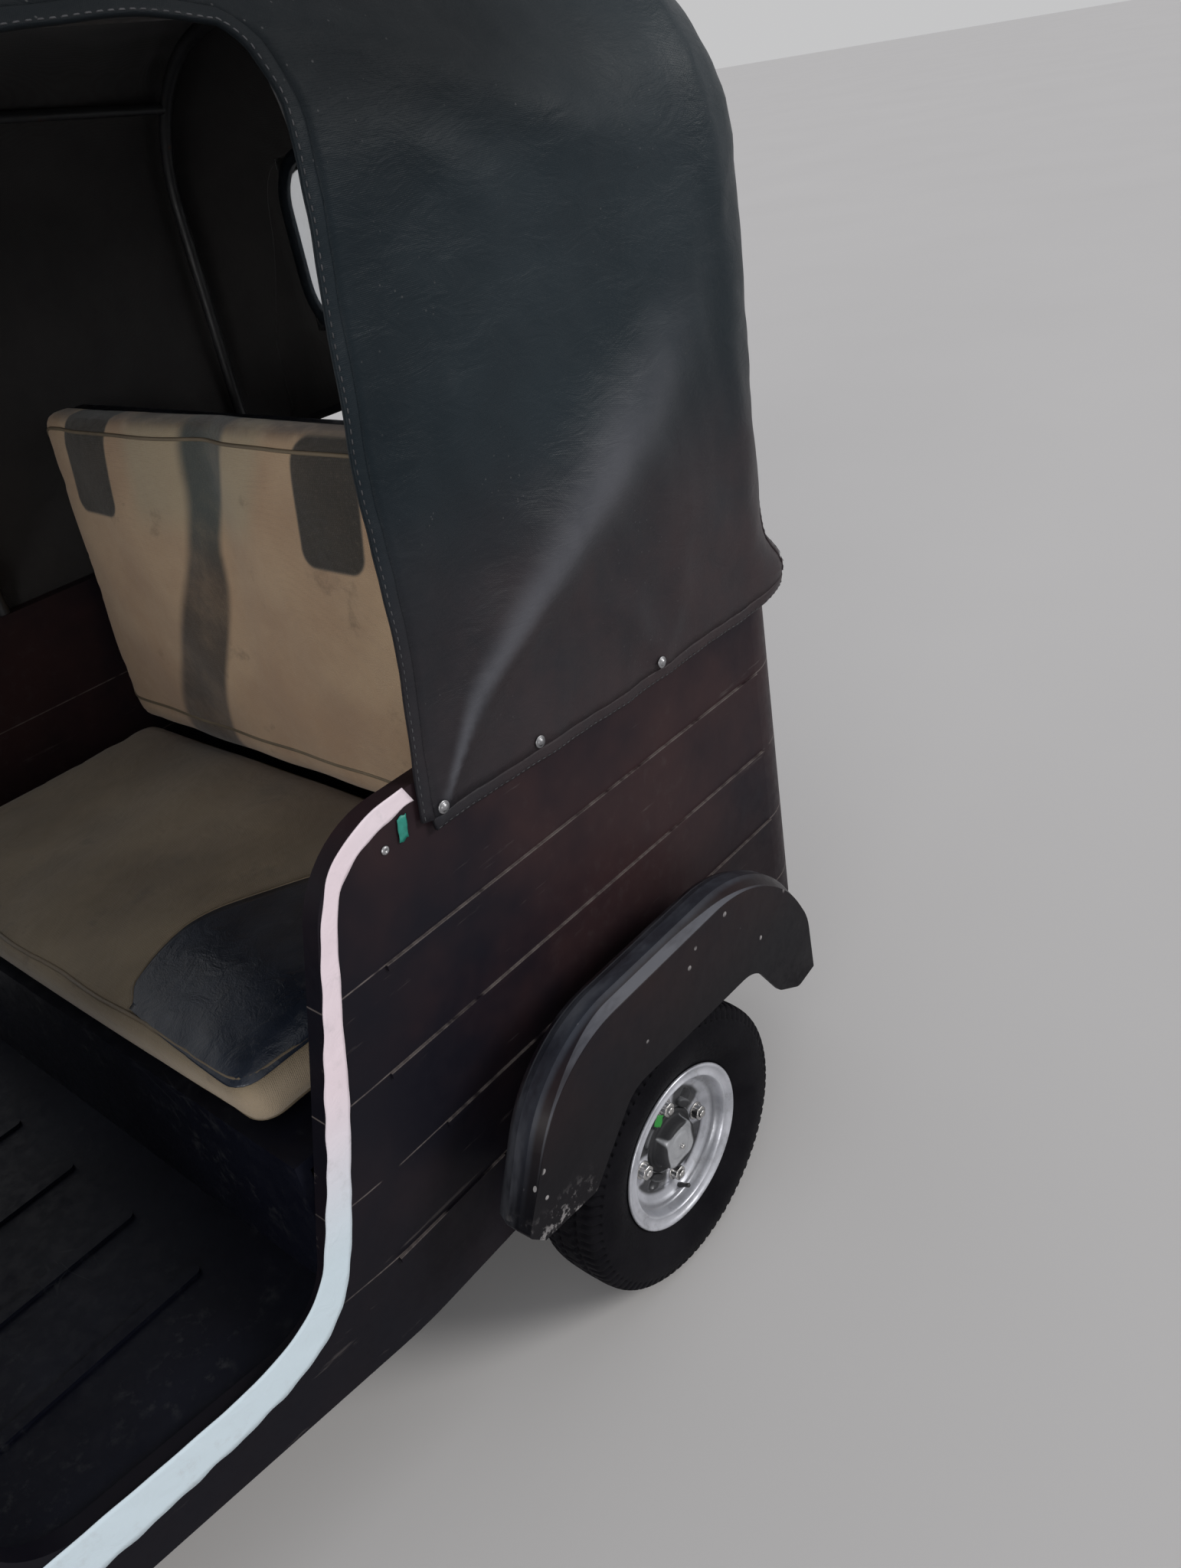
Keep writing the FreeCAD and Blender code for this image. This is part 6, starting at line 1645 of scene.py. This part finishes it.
def tyre_tread():
    """A tyre with two zigzag grooves and a cut block shoulder, in a wheel's own frame."""
    half = np.array(TYRE_HALF)
    section = np.vstack([half, (half * [-1, 1])[::-1][1:]])
    count = TYRE_TEETH * STEPS_TO_A_TOOTH
    step = np.arange(count)
    turn = 2 * math.pi * step / count
    phase = (step % STEPS_TO_A_TOOTH) / STEPS_TO_A_TOOTH
    swing = np.where(phase < 0.5, GROOVE_SWING, -GROOVE_SWING)
    points = np.zeros((count, len(section), 3))
    for j, (across, radius) in enumerate(section):
        # Shoulder cuts, staggered from side to side
        here = phase if across > 0 else (phase + 0.5) % 1
        reach = ease(abs(across), 24.5, 27.5) * ease(radius, 186.5, 189.5)
        cut = (here < 0.30) * reach * GROOVE_DEPTH
        # Zigzag grooves round the crown
        for middle in GROOVES:
            cut = np.maximum(cut, GROOVE_DEPTH * (np.abs(across - middle - swing) < GROOVE_HALF))
        if abs(across) < 6.5:
            cut = np.maximum(cut, 2.6 * ((step // 2) % 6 == 0))
        out = radius - cut
        points[:, j, 0] = across - np.sign(across) * cut * 0.25 * (abs(across) > 40)
        points[:, j, 1] = out * np.cos(turn)
        points[:, j, 2] = out * np.sin(turn)
    return points.reshape(-1, 3), lattice(count, len(section), loop_rows=True)


def rim_form():
    """The rim's pressed rings and its dished disc with four openings."""
    section = []
    closed = RIM_RING + RIM_RING[:1]
    for (x0, r0), (x1, r1) in zip(closed, closed[1:]):
        cuts = max(1, int(math.hypot(x1 - x0, r1 - r0) / 4.0))
        for k in range(cuts):
            section.append((x0 + (x1 - x0) * k / cuts, r0 + (r1 - r0) * k / cuts))
    points, faces = turned(section, (0, 0, 0), "X", 168, closed=True)
    p = np.array(points)
    for k in range(4):
        turn = math.radians(45 + 90 * k)
        away = np.hypot(p[:, 1] - OPENING_CIRCLE * math.cos(turn),
                        p[:, 2] - OPENING_CIRCLE * math.sin(turn))
        dip = ease(away, 11.5, 8.0) * (np.abs(p[:, 0] - 12) < 6)
        p[:, 0] -= dip * 6.0
    return p, faces


def hex_nut(across, start, end):
    """A chamfered hexagon nut with its washer and the stud's end, about Z."""
    washer = knob([(start, 0.0), (start, across * 0.66), (start + 1.4, across * 0.68),
                   (start + 1.9, across * 0.62), (start + 1.9, 0.0)], 30)
    # Rows as height, share of the radius, and how far the row is six-sided
    rows = [(start + 1.5, 0.0, 0), (start + 1.5, 0.985, 1), (start + 2.3, 1.0, 1), (end - 1.8, 1.0, 1),
            (end - 0.6, 0.955, 0.6), (end, 0.86, 0.2), (end, 0.0, 0)]
    corner = across / 2 / math.cos(math.pi / 6)
    points = []
    for height, share, six in rows:
        for k in range(36):
            turn = 2 * math.pi * k / 36
            flat = math.cos(math.pi / 6) / math.cos((turn % (math.pi / 3)) - math.pi / 6)
            radius = corner * (six * flat + (1 - six)) * share
            points.append((radius * math.cos(turn), radius * math.sin(turn), height))
    tip = knob([(end - 0.5, 0), (end - 0.5, across * 0.30), (end + 2.6, across * 0.30),
                (end + 3.6, across * 0.24), (end + 3.6, 0)], 24)
    return join_forms([washer, (points, lattice(len(rows), 36, loop_columns=True)), tip])


def along_x(form):
    """A form made about Z, laid along X."""
    points, faces = form
    return [(z, x, y) for x, y, z in points], faces


def shifted(form, spot):
    points, faces = form
    return [tuple(a + b for a, b in zip(p, spot)) for p in points], faces


def drum_pads():
    """Four cast pads of the hub, between its nuts."""
    corners = np.array([(47.5, -15.0), (60.0, -13.5), (60.0, 13.5), (47.5, 15.0)])
    middle = corners.mean(axis=0)
    line = smooth_line(corners, 2, closed=True)
    forms = []
    for k in range(4):
        turn = math.radians(45 + 90 * k)
        c, s = math.cos(turn), math.sin(turn)
        points = []
        for height, share in ((5.8, 1.0), (17.6, 1.0), (19.2, 0.94), (19.8, 0.84)):
            ring = middle + (line - middle) * share
            points += [(height, a * c - b * s, b * c + a * s) for a, b in ring]
        count = len(line)
        faces = lattice(4, count, loop_columns=True) + [tuple(3 * count + i for i in range(count))]
        forms.append((points, faces))
    return join_forms(forms)


def build_wheel(prefix, suffix, body_name, side):
    """A wheel's tyre, rim, hub cap, nuts and valve."""
    nuts = []
    for k in range(4):
        turn = math.pi / 2 * k
        spot = (0, STUD_CIRCLE * math.cos(turn), STUD_CIRCLE * math.sin(turn))
        nuts.append(shifted(along_x(hex_nut(19.5, 15.3, 26.2)), spot))
    lug = along_x(knob([(34, 0.0), (34, 3.4), (38.5, 3.4), (39.4, 2.6), (39.4, 0.0)], 16))
    cap = join_forms([turned(HUB_CAP, (0, 0, 0), "X", 72), drum_pads()])
    # The valve's stem comes out through the rim's well
    valve = stand(knob([(0, 0), (0, 4.2), (6, 3.9), (14, 2.7), (15, 3.2), (21, 3.2), (22, 2.4), (22, 0)],
                       18), (19, 0, -90), (0.8, 0, 0.45))
    for name, form, slot, finish, solid in (
        ("_tyre_tread", tyre_tread(), "tyre", None, "_tyre"),
        ("_rim_pressing", rim_form(), "rim_silver", None, "_rim"),
        ("_hub_cap", cap, "hub_metal", None, None),
        ("_wheel_nuts", join_forms(nuts + [shifted(lug, (1.5, 0, 0))]), "steel", "nut_steel", None),
        ("_valve", valve, "black_plastic", None, None),
    ):
        made = piece(prefix + name + suffix, [outboard(form, PIVOTS[body_name], side)], body_name, slot,
                     finish)
        if solid:
            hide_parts(prefix + solid + suffix)


build_wheel("rear", "_left", "rear_wheel_left", 1)
build_wheel("rear", "_right", "rear_wheel_right", -1)
build_wheel("front", "", "front_wheel", 1)
# The green mark on the left rear rim's ring
taped("wheel_mark", mark_form((0.6135, 0.8405, 0.2900), (0, 0.0050, 0.0066), (-0.001, -0.0048, 0.0042),
                              0.0016), "rear_wheel_left", "rim_silver", "green")


# Small fittings

LAMP_Z = 0.860
DIAL_MARKS, DIAL_SWEEP, DIAL_REACH = 25, 260, 0.0355


def box_form(low, high, soft, steps):
    """A block with softly rounded edges."""
    mesh = bmesh.new()
    bmesh.ops.create_cube(mesh, size=1.0)
    low, high = np.array(low), np.array(high)
    for v in mesh.verts:
        v.co = Vector(np.array(v.co) * (high - low) + (high + low) / 2)
    bmesh.ops.bevel(mesh, geom=list(mesh.edges), offset=soft, segments=steps, affect="EDGES",
                    profile=0.5)
    mesh.verts.index_update()
    points = [tuple(v.co) for v in mesh.verts]
    faces = [tuple(v.index for v in f.verts) for f in mesh.faces]
    mesh.free()
    return points, faces


def ring_form(centre, normal, radius, thick, steps=64, sides=10):
    """A round bead in the plane of a normal."""
    normal = Vector(normal).normalized()
    side = normal.cross(Vector((0, 0, 1)))
    if side.length < 1e-3:
        side = Vector((1, 0, 0))
    side.normalize()
    other = normal.cross(side)
    line = []
    for k in range(steps):
        turn = 2 * math.pi * k / steps
        line.append(tuple(Vector(centre) + side * radius * math.cos(turn) +
                          other * radius * math.sin(turn)))
    return cord_along(line, thick, sides, closed=True)


def build_headlamp():
    """The headlamp's rim and the flutes on its lens."""
    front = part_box("headlamp_lens")[0].y
    rim = turned([(front + 0.030, 0.0905), (front + 0.012, 0.0915), (front + 0.004, 0.0900),
                  (front + 0.0015, 0.0870), (front + 0.0035, 0.0845), (front + 0.011, 0.0838),
                  (front + 0.016, 0.0850), (front + 0.020, 0.0885)],
                 (0, 0, LAMP_Z), "Y", 96, closed=True)
    piece("headlamp_rim", [rim], "body", "chrome")
    ridges = []
    for x in 0.0092 * np.arange(-8, 9):
        rise = math.sqrt(0.0795 ** 2 - x * x) * np.linspace(-1, 1, 15)
        dome = 0.013 * (1 - (x * x + rise * rise) / 0.0845 ** 2)
        line = np.stack([np.full(15, x), front + 0.0100 - dome, LAMP_Z + rise], 1)
        ridges.append(cord_along(line, 0.0011, 6))
    piece("headlamp_flutes", ridges, "body", "glass")


def build_side_lamps():
    """The indicators' rims, and the tail lamps' frames and ribs."""
    forms = []
    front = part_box("front_indicators")[0].y
    screw = knob([(0, 0), (0, 0.0034), (0.0014, 0.0030), (0.0018, 0.0)], 16)
    for x in (0.245, -0.245):
        forms.append(ring_form((x, front + 0.010, LAMP_Z), (0, 1, 0), 0.0362, 0.0042, 48))
        for z in (0.0245, -0.0245):
            forms.append(stand(screw, (x, front + 0.0005, LAMP_Z + z), (0, -1, 0)))
    piece("indicator_rims", forms, "body", "black_plastic")
    forms, ribs = [], []
    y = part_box("tail_lamps")[1].y
    screw = knob([(0, 0), (0, 0.0032), (0.0012, 0.0028), (0.0016, 0.0)], 16)
    for x0, x1 in ((0.3285, 0.4055), (-0.4055, -0.3285)):
        line = paced_loop(rounded((x0, 0.5595), (x1, 0.7105), 0.008, 6), 0.006)
        forms.append(cord_along(np.insert(line, 1, y - 0.006, axis=1), 0.0040, 8, closed=True))
        for z in (0.612, 0.660):
            forms.append(box_form((x0 + 0.003, y - 0.004, z - 0.0016),
                                  (x1 - 0.003, y + 0.0016, z + 0.0016), 0.0006, 1))
        for k in range(9):
            x = x0 + 0.010 + k * (x1 - x0 - 0.020) / 8
            ribs.append(box_form((x - 0.0012, y - 0.002, 0.5680), (x + 0.0012, y + 0.0008, 0.6085),
                                 0.0005, 1))
        for z in (0.5655, 0.7045):
            forms.append(stand(screw, ((x0 + x1) / 2, y - 0.0005, z), (0, 1, 0)))
    piece("tail_lamp_frames", forms, "body", "black_plastic")
    piece("tail_lamp_ribs", ribs, "body", "red_lens")


def build_grips():
    """Ribbed rubber on both grips, bar-end plugs, hand levers and switch boxes."""
    forms, metal = [], []
    grips = points_of(NODES["handlebar_grips"])
    for side in (1, -1):
        half = grips[grips[:, 0] * side > 0]
        out = np.abs(half[:, 0])
        inner, outer = half[out < out.min() + 0.012].mean(0), half[out > out.max() - 0.012].mean(0)
        length = np.linalg.norm(outer - inner)
        along = (outer - inner) / length
        for k in range(18):
            spot = inner + along * (0.008 + (length - 0.016) * k / 17)
            forms.append(ring_form(spot, along, 0.0172, 0.0016, 32, 6))
        forms.append(ring_form(inner + along * 0.002, along, 0.0195, 0.0032, 40, 8))
        plug = knob([(0, 0), (0, 0.0150), (0.004, 0.0165), (0.008, 0.0150), (0.010, 0.009),
                     (0.0105, 0.0)], 32)
        forms.append(stand(plug, outer, along))
        # The lever and its bracket, ahead of the grip
        ahead = np.array((0.0, -1.0, 0.10))
        pivot = inner - along * 0.012 + ahead * 0.028
        reach = [pivot, pivot + along * 0.03 + ahead * 0.014, pivot + along * 0.09 + ahead * 0.018,
                 pivot + along * 0.135 + ahead * 0.008]
        metal.append(cord_along(paced(smooth_line(reach, 2), 0.006), 0.0042, 10))
        bracket = knob([(-0.011, 0), (-0.011, 0.006), (0.011, 0.006), (0.013, 0.004), (0.013, 0)], 20)
        metal.append(stand(bracket, pivot, (0, 0.1, 1)))
        base = inner - along * 0.022
        forms.append(box_form(base - np.array((0.019, 0.026, 0.021)),
                              base + np.array((0.019, 0.022, 0.019)), 0.006, 3))
    piece("grip_rubbers", forms, "steering", "black_plastic")
    piece("hand_levers", metal, "steering", "steel")


def build_screen_trim():
    """The windscreen's rubber channel and a wiper parked along its foot."""
    node = NODES["windscreen_glass"]
    glass = points_of(node)
    tree = BVHTree.FromPolygons([tuple(p) for p in glass],
                                [tuple(p.vertices) for p in node.data.polygons])
    (x0, _, z0), (x1, _, z1) = glass.min(0), glass.max(0)

    def on_glass(line, lift):
        """A line of (x, z) laid on the glass from ahead."""
        return laid_on(tree, np.insert(np.array(line), 1, -1.3, axis=1), (0, 1, 0), lift, 1.0)
    line = rounded((x0 + 0.003, z0 + 0.003), (x1 - 0.003, z1 - 0.003), 0.055)
    laid = smooth_line(on_glass(paced_loop(line, 0.012), 0.0004), 1, closed=True)
    piece("screen_channel", [cord_along(laid, 0.0075, 8, closed=True)], "body", "black_plastic")
    # The wiper: pivot, arm and blade on the glass
    share = np.linspace(0, 1, 24)
    blade = on_glass(np.stack([-0.235 + 0.40 * share, z0 + 0.060 + 0.055 * share], 1), 0.0050)
    arm = smooth_line([(0.150, z0 + 0.030), (0.10, z0 + 0.060), (0.02, z0 + 0.088),
                       (-0.045, z0 + 0.087)], 2)
    piece("wiper", [
        cord_along(blade, 0.0035, 8), cord_along(blade + np.array((0, -0.006, 0.001)), 0.0022, 8),
        cord_along(on_glass(paced(arm, 0.012), 0.012), 0.0034, 8),
        stand(knob([(-0.006, 0), (-0.006, 0.011), (0.010, 0.010), (0.014, 0.007), (0.015, 0)], 24),
              on_glass([(0.150, z0 + 0.030)], 0.0)[0], (0, -1, 0.3)),
    ], "body", "black_plastic")


def build_mirror_glass():
    """Mirror faces set in bevelled surrounds, towards the driver."""
    forms, glass = [], []
    middle, back = np.array((0.545, 1.2325)), -0.824
    for side in (1, -1):
        points = []
        for grow, out in ((0.0, 0.0), (0.0, 0.0030), (-0.006, 0.0042), (-0.010, 0.0020)):
            spot, half = middle * (side, 1), np.array((0.073, 0.0455)) + grow
            ring = np.insert(rounded(spot - half, spot + half, 0.016), 1, back + out, axis=1)
            points += list(ring)
        forms.append((points, lattice(4, len(ring), loop_columns=True)))
        glass.append((ring + (0, 0.0002, 0), [tuple(range(len(ring)))]))
    piece("mirror_surrounds", forms, "body", "black_plastic")
    piece("mirror_faces", glass, "body", "chrome", "mirror", smooth=False)


def build_hatch_trim():
    """The hatch's hinge knuckles, their screws and its latch."""
    knuckle = knob([(-0.022, 0), (-0.022, 0.0062), (0.022, 0.0062), (0.022, 0)], 20)
    screw = knob([(0, 0), (0, 0.0052), (0.002, 0.0046), (0.0030, 0.002), (0.0030, 0)], 18)
    latch = knob([(0, 0), (0, 0.013), (0.004, 0.013), (0.0055, 0.011), (0.0055, 0.006), (0.004, 0.0055),
                  (0.004, 0)], 28)
    forms = [stand(knuckle, (x, REAR_FACE_Y + 0.006, 0.766), (1, 0, 0))
             for x in (-0.24, -0.08, 0.08, 0.24)]
    for x in (-0.24, 0.24):
        for z in (0.746, 0.728):
            forms.append(stand(screw, (x, REAR_FACE_Y + 0.0012, z), (0, 1, 0)))
    forms.append(stand(latch, (0, REAR_FACE_Y + 0.001, 0.450), (0, 1, 0)))
    piece("hatch_fittings", forms, "engine_hatch", "steel")


def build_dash():
    """The dial's bezel, its face with plain graduations, and a needle."""
    axis = Vector((0, 0.6, 0.8))
    up = Vector((0, -0.8, 0.6))
    side = Vector((1, 0, 0))
    top = Vector((0, -0.914, 0.978))
    away = points_of(NODES["dashboard"]) - np.array(top)
    beside = np.linalg.norm(np.cross(away, np.array(axis)), axis=1)
    near = away[(np.abs(away[:, 0]) < 0.06) & (beside < 0.05)]
    centre = top + axis * (float((near @ np.array(axis)).max()) + 0.0006)

    def at(x, y, height):
        """A spot on the dial: across, up its face, and out from it."""
        return tuple(centre + side * x + up * y + axis * height)
    bezel = knob([(-0.010, 0.0455), (0.0, 0.0460), (0.0035, 0.0450), (0.0045, 0.0425), (0.0030, 0.0395),
                  (0.0010, 0.0385)], 64)
    piece("dial_bezel", [stand(bezel, centre, axis)], "body", "chrome")
    disc = knob([(0.0006, 0.0), (0.0008, 0.0385), (0.0002, 0.0388)], 64)
    piece("dial_face", [stand(disc, centre, axis)], "body", "black_plastic")
    marks = []
    for k in range(DIAL_MARKS):
        turn = math.radians(DIAL_SWEEP * (k / (DIAL_MARKS - 1) - 0.5))
        x, y = math.sin(turn), math.cos(turn)
        inner, thick = (DIAL_REACH - 0.0042, 0.00045) if k % 4 else (DIAL_REACH - 0.0075, 0.0008)
        line = [at(x * reach, y * reach, 0.0012) for reach in (DIAL_REACH, inner)]
        marks.append(cord_along(line, thick, 6))
    marks.append(cord_along([at(0.006, -0.004, 0.0024), at(-0.022, -0.019, 0.0024)], 0.0008, 6))
    marks.append(stand(knob([(0.0008, 0), (0.0008, 0.0042), (0.0032, 0.0038), (0.0036, 0)], 20), centre,
                       axis))
    piece("dial_marks", marks, "body", "rim_silver", "dial_white")


build_headlamp()
build_side_lamps()
build_grips()
build_screen_trim()
build_mirror_glass()
build_hatch_trim()
build_dash()

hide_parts("hood_canopy")


# Materials of the solids that stay

SLOTS = {part["node"]: part["material_slot"] for part in frame["record"]["subparts"]}


def dress():
    for name, node in NODES.items():
        finish = FINISH.get(SLOTS[name])
        if "mudguard" in name:
            finish = FINISH["guard"]
        if finish:
            node.data.materials.clear()
            node.data.materials.append(finish)


dress()
